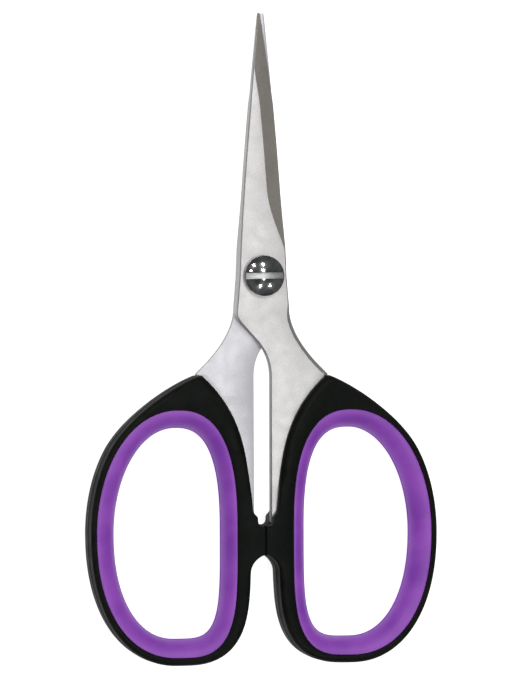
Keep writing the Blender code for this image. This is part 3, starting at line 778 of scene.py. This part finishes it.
def band_tree():
    """Node tree that carries a profile round a loop of stations and closes it both ways."""
    tree = bpy.data.node_groups.new("moulded_band", "GeometryNodeTree")
    tree.is_modifier = True
    interface(tree, [
        ("Loop", "NodeSocketGeometry", None),
        ("Profile", "NodeSocketObject", None),
        ("Stations", "NodeSocketInt", LINER_STATIONS),
        ("Profile Points", "NodeSocketInt", BULGE_STEPS),
        ("Merge Distance", "NodeSocketFloat", MERGE_REACH),
        ("Finish", "NodeSocketMaterial", None),
    ], [("Band", "NodeSocketGeometry")])
    build = Tree(tree)
    entry = tree.nodes.new("NodeGroupInput").outputs
    columns = build.math("ADD", entry["Profile Points"], 1.0)
    rows = build.math("ADD", entry["Stations"], 1.0)
    grid = build.node("GeometryNodeMeshGrid", 1.0, 1.0, rows, columns)
    index = build.node("GeometryNodeInputIndex")
    row = build.math("FLOOR", build.math("DIVIDE", build.math("ADD", index, 0.5), columns))
    column = build.math("SUBTRACT", index, build.math("MULTIPLY", row, columns))
    station = build.math("MODULO", row, entry["Stations"])
    point = build.math("MODULO", column, entry["Profile Points"])

    def sampled(source, attribute, kind, number):
        if attribute == "position":
            value = build.node("GeometryNodeInputPosition")
        else:
            value = build.node("GeometryNodeInputNamedAttribute", attribute, data_type=kind)
        inputs = {"Geometry": source, "Value": value, "Index": number}
        return build.node("GeometryNodeSampleIndex", at=inputs, output="Value",
                          data_type=kind, domain="POINT")

    profile = build.node("GeometryNodeObjectInfo", at={"Object": entry["Profile"]}, output="Geometry")
    place = sampled(entry["Loop"], "position", "FLOAT_VECTOR", station)
    across = sampled(entry["Loop"], "across", "FLOAT_VECTOR", station)
    stretch = sampled(entry["Loop"], "stretch", "FLOAT", station)
    radius = sampled(entry["Loop"], "radius", "FLOAT", station)
    drawn_at = sampled(profile, "position", "FLOAT_VECTOR", point)
    by_radius = sampled(profile, "by_radius", "FLOAT_VECTOR", point)
    share, inset, height = build.parts(build.vector("ADD", drawn_at, build.scaled(by_radius, radius)))
    unit = build.vector("NORMALIZE", across)
    extra = build.math("SUBTRACT", stretch, 1.0)
    beyond = build.math("MULTIPLY", extra, build.math("SUBTRACT", 1.0, share))
    shifted = build.scaled(unit, build.math("MULTIPLY", inset, build.math("ADD", beyond, 1.0)))
    flat = build.vector("ADD", build.vector("ADD", place, build.scaled(across, share)), shifted)
    raised = build.vector("ADD", flat, build.node("ShaderNodeCombineXYZ", 0.0, 0.0, height))
    reach = entry["Merge Distance"]
    band = build.node("GeometryNodeSetPosition", at={"Geometry": grid, "Position": raised})
    band = build.node("GeometryNodeMergeByDistance", at={"Geometry": band, "Distance": reach})
    band = build.node("GeometryNodeRealizeInstances", band)
    band = build.node("GeometryNodeSetMaterial", at={"Geometry": band, "Material": entry["Finish"]})
    build.feed(tree.nodes.new("NodeGroupOutput").inputs[0], band)
    return tree


def band_object(name, stations, profile, material):
    """Runs the band tree on a loop and a profile. The result is a closed plain object."""
    loop = station_loop(name, stations)
    drawn = profile_points(name + "_profile", profile)
    modifier = loop.modifiers.new("moulded_band", "NODES")
    modifier.node_group = bpy.data.node_groups.get("moulded_band") or band_tree()
    values = {
        "Profile": drawn,
        "Stations": len(stations),
        "Profile Points": len(profile),
        "Merge Distance": MERGE_REACH,
        "Finish": material,
    }
    for socket in modifier.node_group.interface.items_tree:
        if socket.in_out == "INPUT" and socket.name in values:
            modifier[socket.identifier] = values[socket.name]
    mesh = plain_mesh(loop, name)
    bpy.data.objects.remove(drawn)
    bm = bmesh.new()
    bm.from_mesh(mesh)
    bmesh.ops.recalc_face_normals(bm, faces=bm.faces)
    bm.to_mesh(mesh)
    bm.free()
    return link(bpy.data.objects.new(name, mesh))


def plain(share, inset, height):
    """Profile point that no radius moves."""
    return (share, inset, height), (0.0, 0.0)


def mirrored(points):
    """The lower half of a profile that is the same above and below the middle."""
    lower = []
    for (share, inset, height), (inset_added, height_added) in reversed(points):
        lower.append(((share, inset, -height), (inset_added, -height_added)))
    return lower


SEAT_ROUND = 0.2                # corner of the handle along the liner
SEAT_ROUND_MIDDLE = 0.3         # share of it that the round's middle point keeps from each face
BULGE_START = 0.6               # share of a step from the seat's corner to the bulge's first point
DRAFT = 0.08                    # how far the handle's sides lean in from the parting line
LINE_HALF_WIDTH = 0.1           # half of a parting line's width


def handle_profile(parting_line):
    """Upper half of the handle's section, from the rib in the seat to the parting line."""
    half, rib = HANDLE_HALF_THICKNESS, TONGUE_THICKNESS / 2
    points = [
        plain(1.0, TONGUE_DEPTH, rib),
        plain(1.0, 0.0, rib),
        plain(1.0, 0.0, half - SEAT_ROUND),
        plain(1.0, -SEAT_ROUND_MIDDLE * SEAT_ROUND, half - SEAT_ROUND_MIDDLE * SEAT_ROUND),
        plain(1.0, -SEAT_ROUND, half),
    ]
    for step in range(ROUND_STEPS + 1):
        angle = math.pi / 2 * step / ROUND_STEPS
        points.append(((0.0, DRAFT, half), (1 - math.sin(angle), math.cos(angle) - 1)))
    points.append(plain(0.0, parting_line, 2 * LINE_HALF_WIDTH))
    points.append(plain(0.0, 0.0, LINE_HALF_WIDTH))
    return points


def handle_stations(rim_round, lip_round):
    seat_band = opening_band(lambda normal: band_width(LINER_WIDTHS, normal) + SEAM / 2)
    outline = handle_outline(rim_round, lip_round)
    stations = []
    for number, (edge, radius) in enumerate(outline):
        tangent = outline[(number + 1) % len(outline)][0] - outline[number - 1][0]
        across = on_ray(seat_band, edge) - edge
        square = max(abs(across.normalized().cross(tangent.normalized())), LEAST_SQUARE)
        radius = min(radius, ROUND_SHARE * across.length * square)
        stations.append((edge, across, 1 / square, radius))
    return stations


def tang_pocket():
    """The room for the tang, open towards the slot and past the handle's top."""
    spine, edge = spine_rail(), cutting_rail()
    above = SHOULDER_CORNER[1] + POCKET_RISE
    rows = [y for y in blade_rows() if y < above - CUTTER_MARGIN]
    sections = []
    for y in [above] + rows + [TANG_END_Y - SEAM]:
        left = rail_x(spine, y) - SEAM * slant(spine, y) + end_taper(y + SEAM)
        right = rail_x(edge, y) + SEAM * slant(edge, y) - end_taper(y + SEAM)
        low, high = BLADE_BACK - SEAM, BLADE_FACE + SEAM
        corners = [(left, low), (left, high), (right, high), (right, low)]
        sections.append([Vector((x, y, z)) for x, z in corners])
    pocket = lofted("tang_pocket", sections)
    mesh = combined(pocket, anchor_pegs(ANCHOR_HOLE_DIAMETER / 2 - SEAM))
    return link(bpy.data.objects.new("tang_room", mesh))


def handle_mesh(settings, material):
    upper = handle_profile(settings.parting_line / MM)
    stations = handle_stations(settings.rim_round / MM, settings.lip_round / MM)
    body = band_object("handle", stations, upper + mirrored(upper), material)
    return combined(body, [tang_pocket()])


def liner_profile(parting_line):
    """Upper half of the liner's section, from the groove over the bulge to the parting line."""
    half, groove = LINER_HALF_THICKNESS, TONGUE_THICKNESS / 2 + SEAM
    points = [
        plain(1.0, -TONGUE_DEPTH - SEAM, groove),
        plain(1.0, 0.0, groove),
        plain(1.0, 0.0, half - SEAT_ROUND),
        plain(1.0, -SEAT_ROUND_MIDDLE * SEAT_ROUND, half - SEAT_ROUND_MIDDLE * SEAT_ROUND),
    ]
    for step in range(BULGE_STEPS):
        angle = math.pi / 2 * (1 - (step + BULGE_START) / BULGE_STEPS)
        points.append(plain(1 - math.cos(angle), 0.0, half * math.sin(angle)))
    points.append(plain(0.0, -parting_line, LINE_HALF_WIDTH / 2))
    return points


def liner_mesh(settings, material):
    upper = liner_profile(settings.parting_line / MM)
    stations = []
    for point, normal in opening_stations(LINER_STATIONS):
        width = band_width(LINER_WIDTHS, normal) - SEAM / 2
        stations.append((point, normal * width, 1.0, 0.0))
    return combined(band_object("liner", stations, upper + mirrored(upper), material), [])


# ---------------------------------------------------------------- pivot

HEAD_EDGE_ROUND = 0.15
DOME_START_STEP, DOME_STEPS = 2, 36
WASHER_EDGE_BREAK = 0.08
SHANK_CHAMFER = 0.3
NUT_CHAMFER_TILT = math.radians(28)
MILLED = 1                      # finish index of the driver slot, after the polished head's


def screw_mesh():
    rim_top = HEAD_BOTTOM + HEAD_RIM_HEIGHT
    end = NUT_BOTTOM + SHANK_END_RECESS
    profile = [
        (SHANK_RADIUS - SHANK_CHAMFER, end),
        (SHANK_RADIUS, end + SHANK_CHAMFER),
        (SHANK_RADIUS, HEAD_BOTTOM),
        (HEAD_RADIUS - HEAD_EDGE_ROUND, HEAD_BOTTOM),
        (HEAD_RADIUS, HEAD_BOTTOM + HEAD_EDGE_ROUND),
        (HEAD_RADIUS, rim_top - HEAD_EDGE_ROUND),
    ]
    for step in range(DOME_START_STEP, DOME_STEPS):
        share = math.cos(math.pi / 2 * step / DOME_STEPS)
        profile.append((HEAD_RADIUS * share, rim_top + HEAD_DOME_HEIGHT * (1 - share ** 2)))
    screw = turned("pivot_screw_blank", profile)
    side = DRIVER_SLOT_WIDTH / 2
    dome_top = rim_top + HEAD_DOME_HEIGHT
    floor, above = dome_top - DRIVER_SLOT_DEPTH, dome_top + CUTTER_MARGIN
    section = [(-side, floor), (side, floor), (side, above), (-side, above)]
    ends = [[Vector((x, y, z)) for y, z in section] for x in (-2 * HEAD_RADIUS, 2 * HEAD_RADIUS)]
    driver_slot = lofted("driver_slot", ends, lambda side, y: MILLED)
    driver_slot.data.transform(Matrix.Rotation(DRIVER_SLOT_TILT, 4, "Z"))
    for item in (screw, driver_slot):
        item.data.materials.append(None)
        item.data.materials.append(None)
    return combined(screw, [driver_slot])


def washer_mesh():
    outer, edge = WASHER_HIGH.x, WASHER_EDGE_BREAK
    low, high = BLADE_FACE + SEAM, HEAD_BOTTOM - SEAM
    blank = turned("washer_blank", [
        (outer - edge, low), (outer, low + edge), (outer, high - edge), (outer - edge, high),
    ])
    return combined(blank, [peg("washer_bore", BORE_RADIUS, low, high)])


def nut_mesh():
    """Hexagon nut whose lower corners are turned off at an angle."""
    corner, top = NUT_HALF_FLATS / math.cos(math.pi / 6), -BLADE_FACE - SEAM
    fall = (corner - NUT_HALF_FLATS) * math.tan(NUT_CHAMFER_TILT)
    hexagon = turned("nut_blank", [(corner, NUT_BOTTOM), (corner, top)], sides=6)
    turned_body = turned("nut_turning", [
        (NUT_HALF_FLATS, NUT_BOTTOM), (corner, NUT_BOTTOM + fall),
        (corner, top - fall), (NUT_HALF_FLATS, top),
    ])
    shared = combined(hexagon, [turned_body], "INTERSECT")
    blank = link(bpy.data.objects.new("nut_faced", shared))
    return combined(blank, [peg("nut_bore", BORE_RADIUS, NUT_BOTTOM, top)])


# ---------------------------------------------------------------- shared effects

def shader_group(name, inputs, outputs, fill):
    """A shader node group, built once. fill gets its builder and inputs and returns its outputs."""
    group = bpy.data.node_groups.get(name)
    if group:
        return group
    group = bpy.data.node_groups.new(name, "ShaderNodeTree")
    interface(group, inputs, outputs)
    build = Tree(group)
    entry = group.nodes.new("NodeGroupInput").outputs
    leave = group.nodes.new("NodeGroupOutput").inputs
    for socket, value in zip(leave, fill(build, entry)):
        build.feed(socket, value)
    return group


def object_place(build):
    return build.node("ShaderNodeTexCoord", output=3)


def ramped(build, value, from_low, from_high, to_low=0.0, to_high=1.0):
    return build.node("ShaderNodeMapRange", value, from_low, from_high, to_low, to_high)


def noise(build, place, scale, detail=2.0):
    return build.node("ShaderNodeTexNoise", at={"Vector": place, "Scale": scale, "Detail": detail})


# Noise stays near one half, so each pattern is read off between two values about it
LINE_RANGE = (0.3, 0.7)
CLOUD_RANGE = (0.35, 0.65)
HIGHLIGHT_RANGE = (0.3, 0.62)
LINE_DETAIL = 3.0


def grain_group():
    """Fine lines left by grinding: thin across, long along, turned about Z."""
    def fill(build, entry):
        turn = build.node("ShaderNodeCombineXYZ", 0.0, 0.0, entry["Turn"])
        scale = build.node("ShaderNodeCombineXYZ", entry["Across"], entry["Along"], entry["Across"])
        turned_place = build.node("ShaderNodeMapping", object_place(build), None, turn)
        stretched = build.vector("MULTIPLY", turned_place, scale)
        lines = noise(build, stretched, 1.0, LINE_DETAIL)
        return lines, ramped(build, lines, *LINE_RANGE, entry["Dark"], entry["Light"])
    return shader_group("grinding_grain", [
        ("Across", "NodeSocketFloat", 9000.0),
        ("Along", "NodeSocketFloat", 900.0),
        ("Turn", "NodeSocketFloat", 0.0),
        ("Dark", "NodeSocketFloat", 0.9),
        ("Light", "NodeSocketFloat", 1.05),
    ], [("Height", "NodeSocketFloat"), ("Tone", "NodeSocketFloat")], fill)


def cloud_group():
    """Broad soft patches, for tones and gloss that drift over a surface."""
    def fill(build, entry):
        patches = noise(build, object_place(build), entry["Scale"])
        return [ramped(build, patches, *CLOUD_RANGE, entry["Low"], entry["High"])]
    return shader_group("soft_patches", [
        ("Scale", "NodeSocketFloat", 120.0),
        ("Low", "NodeSocketFloat", 0.0),
        ("High", "NodeSocketFloat", 1.0),
    ], [("Value", "NodeSocketFloat")], fill)


def painted_highlight_group():
    """Mask of a painted highlight along a rounded edge: a band of heights over the middle, broken up by
    patches.
    """
    def fill(build, entry):
        height = build.parts(object_place(build))[2]
        away = build.math("ABSOLUTE", build.math("SUBTRACT", height, entry["Middle"]))
        inside = ramped(build, away, entry["Start"], entry["End"])
        below_top = build.math("LESS_THAN", away, entry["Top"])
        broken = ramped(build, noise(build, object_place(build), entry["Scale"]), *HIGHLIGHT_RANGE)
        return [build.math("MULTIPLY", build.math("MULTIPLY", inside, below_top),
                           build.math("MULTIPLY", broken, entry["Amount"]))]
    return shader_group("edge_wear", [
        ("Middle", "NodeSocketFloat", PIVOT.z),
        ("Start", "NodeSocketFloat", 0.0034),
        ("End", "NodeSocketFloat", 0.0043),
        ("Top", "NodeSocketFloat", 0.00449),
        ("Scale", "NodeSocketFloat", 300.0),
        ("Amount", "NodeSocketFloat", 0.6),
    ], [("Mask", "NodeSocketFloat")], fill)


def speck_group():
    """Few small round specks of dust."""
    def fill(build, entry):
        cells = build.tree.nodes.new("ShaderNodeTexVoronoi")
        build.feed(cells.inputs["Vector"], object_place(build))
        build.feed(cells.inputs["Scale"], entry["Scale"])
        near = ramped(build, cells.outputs["Distance"], entry["Size"], 0.0)
        few = build.math("LESS_THAN", build.parts(cells.outputs["Color"])[0], entry["Share"])
        return [build.math("MULTIPLY", near, few)]
    return shader_group("dust_specks", [
        ("Scale", "NodeSocketFloat", 500.0),
        ("Size", "NodeSocketFloat", 0.12),
        ("Share", "NodeSocketFloat", 0.2),
    ], [("Mask", "NodeSocketFloat")], fill)


def placed(build, group, output, **values):
    """A shader group in a material, with its own values, and one of its outputs."""
    node = build.tree.nodes.new("ShaderNodeGroup")
    node.node_tree = group
    for name, value in values.items():
        node.inputs[name.replace("_", " ").title()].default_value = value
    return node.outputs[output]


def clouds(build, scale, low=0.0, high=1.0):
    """Soft patches placed in a material."""
    return placed(build, cloud_group(), 0, scale=scale, low=low, high=high)


# ---------------------------------------------------------------- finishes

WHITE = (1.0, 1.0, 1.0)
LINE_STRETCH = 0.12             # width of a grinding line over its length
SPECKLE_STRETCH = 0.5           # the same on the satin faces, whose lines are short
GROUND_ROUGHER = 0.12           # roughness of the ground bevel over the satin face's
SATIN_BUMP = 0.000004           # metres, as the other bumps are
PAPER_ROUGHNESS = 0.9


def new_finish(name, colour_socket, roughness_socket, height, bump, metallic=0.0, **plain_values):
    """Material whose colour, roughness and bump come from the three given functions."""
    material = bpy.data.materials.new(name)
    material.use_nodes = True
    build = Tree(material.node_tree)
    shader = material.node_tree.nodes["Principled BSDF"]
    shader.inputs["Metallic"].default_value = metallic
    for socket, value in plain_values.items():
        shader.inputs[socket.replace("_", " ")].default_value = value
    build.feed(shader.inputs["Base Color"], colour_socket(build))
    build.feed(shader.inputs["Roughness"], roughness_socket(build))
    node = build.tree.nodes.new("ShaderNodeBump")
    node.inputs["Strength"].default_value = 1.0
    node.inputs["Distance"].default_value = bump
    build.feed(node.inputs["Height"], height(build))
    build.feed(shader.inputs["Normal"], node.outputs[0])
    return material


def mixed(build, share, *colours):
    """Colour between two, which may be colours or sockets."""
    first, second = [item if isinstance(item, bpy.types.NodeSocket) else (*item, 1.0) for item in colours]
    return build.node("ShaderNodeMix", at={0: share, 6: first, 7: second}, output=2, data_type="RGBA")


def drifting(value, drift, scale):
    """Roughness that drifts each way from its value, in patches."""
    return lambda build: clouds(build, scale, value - drift, value + drift)


def fine_grain(scale):
    """Height of a fine even grain."""
    return lambda build: noise(build, object_place(build), scale)


def darker(colour_value, share):
    return tuple(channel * share for channel in colour_value)


def steel(name, base, roughness, grain, turn, contrast, bump,
          stretch=LINE_STRETCH, patch_scale=160.0, patch_tone=0.95):
    """Ground or satin steel: grain lines, drifting tone and gloss."""
    def grained(build, output):
        return placed(build, grain_group(), output, across=1 / grain, along=stretch / grain, turn=turn,
                      dark=1 - contrast, light=1 + contrast / 2)

    def base_colour(build):
        toned = mixed(build, clouds(build, patch_scale), darker(base, patch_tone), base)
        return build.scaled(toned, grained(build, 1))

    return new_finish(name, base_colour, drifting(roughness, drift=0.03, scale=420.0),
                      lambda build: grained(build, 0), bump, metallic=1.0)


def plastic(settings):
    """Black plastic with the fine grain of its mould and a painted highlight along its edges."""
    def base_colour(build):
        # Painted highlight: lighter colour on the rounded rim, broken up in patches.
        painted_highlight = placed(build, painted_highlight_group(), 0)
        patches = clouds(build, scale=900.0)
        body = mixed(build, patches, darker(settings.body_colour, share=0.75), settings.body_colour)
        return mixed(build, painted_highlight, body, settings.painted_highlight_colour)

    return new_finish("black_moulded_plastic", base_colour,
                      drifting(settings.roughness, drift=0.05, scale=260.0),
                      fine_grain(scale=7000.0), bump=0.000012, Specular_IOR_Level=0.07)


def rubber(settings):
    """Purple rubber, soft and slightly uneven, with a few specks of dust."""
    def base_colour(build):
        body = mixed(build, clouds(build, scale=150.0), settings.deep_colour, settings.rubber_colour)
        specks = placed(build, speck_group(), 0, scale=330.0, size=0.1, share=0.05)
        return mixed(build, specks, body, darker(settings.deep_colour, share=0.5))

    return new_finish("purple_soft_rubber", base_colour,
                      drifting(settings.roughness, drift=0.04, scale=300.0),
                      fine_grain(scale=4200.0), bump=0.00001)


def pale_floor(settings):
    """Pale paper, which glows more to the lens than to the pieces that lie on it."""
    def base_colour(build):
        return mixed(build, clouds(build, scale=9.0), darker(WHITE, share=0.93), darker(WHITE, share=0.95))

    floor = new_finish("pale_paper", base_colour, lambda build: PAPER_ROUGHNESS,
                       fine_grain(scale=900.0), bump=0.00002, Emission_Color=(*WHITE, 1.0))
    build = Tree(floor.node_tree)
    seen_directly = build.node("ShaderNodeLightPath")
    glow = ramped(build, seen_directly, 0.0, 1.0, settings.floor_bounce, settings.floor_glow)
    build.feed(floor.node_tree.nodes["Principled BSDF"].inputs["Emission Strength"], glow)
    return floor


# ---------------------------------------------------------------- operators

class Piece(bpy.types.Operator):
    """Base of the operators that build pieces."""

    bl_options = {"REGISTER", "UNDO"}


class SCISSORS_OT_blades(Piece):
    """Build both blades with their tangs, ground bevels and broken edges"""

    bl_idname = "scissors.blades"
    bl_label = "Blades"

    def execute(self, context):
        settings = context.scene.scissors_blades
        grain, rough = settings.grain_width, settings.roughness
        finishes = [
            steel("satin_steel", settings.face_colour, rough, grain, turn=0.0, contrast=0.1,
                  bump=SATIN_BUMP, stretch=SPECKLE_STRETCH),
            steel("ground_steel", settings.ground_colour, rough + GROUND_ROUGHER, grain,
                  turn=math.pi / 2, contrast=0.12, bump=SATIN_BUMP),
            steel("blanked_steel", settings.side_colour, rough, grain, turn=0.0, contrast=0.15,
                  bump=0.000006),
            steel("inner_steel", settings.inner_colour, rough, grain, turn=0.3, contrast=0.08,
                  bump=SATIN_BUMP, stretch=SPECKLE_STRETCH),
        ]
        mesh = blade_mesh(settings.corner_round / MM)
        finished_pair(("front", "rear"), "blade_steel", mesh, "blade", finishes)
        return {"FINISHED"}


class SCISSORS_OT_handles(Piece):
    """Build both handles round the tangs"""

    bl_idname = "scissors.handles"
    bl_label = "Handles"

    def execute(self, context):
        settings = context.scene.scissors_handles
        finish = plastic(settings)
        mesh = handle_mesh(settings, finish)
        finished_pair(("right", "left"), "handle_shell", mesh, "handle", [finish])
        return {"FINISHED"}


class SCISSORS_OT_liners(Piece):
    """Build the soft liners inside both handles"""

    bl_idname = "scissors.liners"
    bl_label = "Grip Liners"

    def execute(self, context):
        settings = context.scene.scissors_liners
        finish = rubber(settings)
        mesh = liner_mesh(settings, finish)
        finished_pair(("right", "left"), "liner_rubber", mesh, "grip_liner", [finish])
        return {"FINISHED"}


class SCISSORS_OT_pivot(Piece):
    """Build the slotted screw, its washer and its nut"""

    bl_idname = "scissors.pivot"
    bl_label = "Pivot"

    def execute(self, context):
        settings = context.scene.scissors_pivot
        chrome = steel("polished_chrome", settings.chrome_colour, settings.polish, grain=0.0004, turn=0.0,
                       contrast=0.03, bump=0.0000005, patch_scale=420.0, patch_tone=0.45)
        milled = steel("milled_steel", settings.milled_colour, roughness=0.38, grain=0.0003,
                       turn=math.pi / 2, contrast=0.2, bump=0.00001)
        plated = steel("plated_steel", settings.plated_colour, roughness=0.3, grain=0.0002,
                       turn=0.0, contrast=0.08, bump=0.000003)
        finished_piece("pivot_screw_chrome", screw_mesh(), "screw", ["pivot_screw"],
                       [chrome, milled])
        finished_piece("head_washer_steel", washer_mesh(), "screw", ["head_washer"],
                       [plated])
        finished_piece("pivot_nut_steel", nut_mesh(), "rear_half", ["pivot_nut"], [plated])
        return {"FINISHED"}


# Where the lamps stand, as the slopes to the right and towards the tips that lead to them
LAMP_SLOPES = (
    (-0.36, 0.58), (0.11, 0.61), (-0.50, 0.28), (0.10, 0.28), (0.12, -0.13), (-0.04, -0.50), (0.51, -0.50),
)
FLOOR_HALF_WIDTH = 1.0          # metres, as the sizes of the stage are
CAMERA_AIM = Vector((0.00028, -0.00072, PIVOT.z))
LENS_REACH = (0.01, 10.0)
SKY_COLOUR = (0.97, 1.0, 1.0, 1.0)
SKY_STRENGTH = 0.12


class SCISSORS_OT_stage(Piece):
    """Build the pale floor, the soft lamps and the camera"""

    bl_idname = "scissors.stage"
    bl_label = "Stage"

    def execute(self, context):
        settings = context.scene.scissors_stage
        self.floor(settings)
        self.lamps(settings)
        self.camera(context, settings)
        world = bpy.data.worlds.new("studio")
        world.use_nodes = True
        sky = world.node_tree.nodes["Background"].inputs
        sky["Color"].default_value = SKY_COLOUR
        sky["Strength"].default_value = SKY_STRENGTH
        context.scene.world = world
        context.scene.view_settings.view_transform = "Standard"
        return {"FINISHED"}

    def floor(self, settings):
        half = FLOOR_HALF_WIDTH
        mesh = bpy.data.meshes.new("floor")
        corners = [(-half, -half, 0), (half, -half, 0), (half, half, 0), (-half, half, 0)]
        mesh.from_pydata(corners, [], [(0, 1, 2, 3)])
        mesh.materials.append(pale_floor(settings))
        link(bpy.data.objects.new("floor", mesh))

    def lamps(self, settings):
        for number, (right, forward) in enumerate(LAMP_SLOPES):
            data = bpy.data.lights.new(f"lamp_{number}", "AREA")
            data.size = settings.lamp_size
            data.energy = settings.lamp_power
            lamp = link(bpy.data.objects.new(data.name, data))
            lamp.location = PIVOT + Vector((right, forward, 1.0)) * settings.lamp_height
            lamp.rotation_euler = (lamp.location - PIVOT).to_track_quat("Z", "Y").to_euler()

    def camera(self, context, settings):
        back = Vector((-math.sin(settings.camera_side), 0.0, math.cos(settings.camera_side)))
        right = Vector((0.0, 1.0, 0.0)).cross(back)
        turn = Matrix((right, (0.0, 1.0, 0.0), back)).transposed().to_4x4()
        data = bpy.data.cameras.new("camera")
        data.lens = data.sensor_width * settings.camera_distance / settings.seen_length
        data.clip_start, data.clip_end = LENS_REACH
        camera = link(bpy.data.objects.new("camera", data))
        place = Matrix.Translation(CAMERA_AIM + back * settings.camera_distance)
        camera.matrix_world = place @ turn @ Matrix.Rotation(settings.camera_roll, 4, "Z")
        context.scene.camera = camera


class SCISSORS_PT_panel(bpy.types.Panel):
    """Lists the pieces and their settings"""

    bl_label = "Craft Scissors"
    bl_idname = "SCISSORS_PT_panel"
    bl_space_type = "VIEW_3D"
    bl_region_type = "UI"
    bl_category = "Scissors"

    def draw(self, context):
        for operator, name, settings in STEPS:
            box = self.layout.box()
            box.operator(operator.bl_idname)
            group = getattr(context.scene, name)
            for setting in settings.__annotations__:
                box.prop(group, setting)


STEPS = (
    (SCISSORS_OT_blades, "scissors_blades", BladeSettings),
    (SCISSORS_OT_handles, "scissors_handles", HandleSettings),
    (SCISSORS_OT_liners, "scissors_liners", LinerSettings),
    (SCISSORS_OT_pivot, "scissors_pivot", PivotSettings),
    (SCISSORS_OT_stage, "scissors_stage", StageSettings),
)


def register():
    for operator, name, settings in STEPS:
        bpy.utils.register_class(settings)
        bpy.utils.register_class(operator)
        setattr(bpy.types.Scene, name, PointerProperty(type=settings))
    bpy.utils.register_class(SCISSORS_PT_panel)


def unregister():
    bpy.utils.unregister_class(SCISSORS_PT_panel)
    for operator, name, settings in reversed(STEPS):
        delattr(bpy.types.Scene, name)
        bpy.utils.unregister_class(operator)
        bpy.utils.unregister_class(settings)


def main():
    register()
    bpy.ops.scissors.blades()
    bpy.ops.scissors.handles()
    bpy.ops.scissors.liners()
    bpy.ops.scissors.pivot()
    bpy.ops.scissors.stage()


if __name__ == "__main__":
    main()
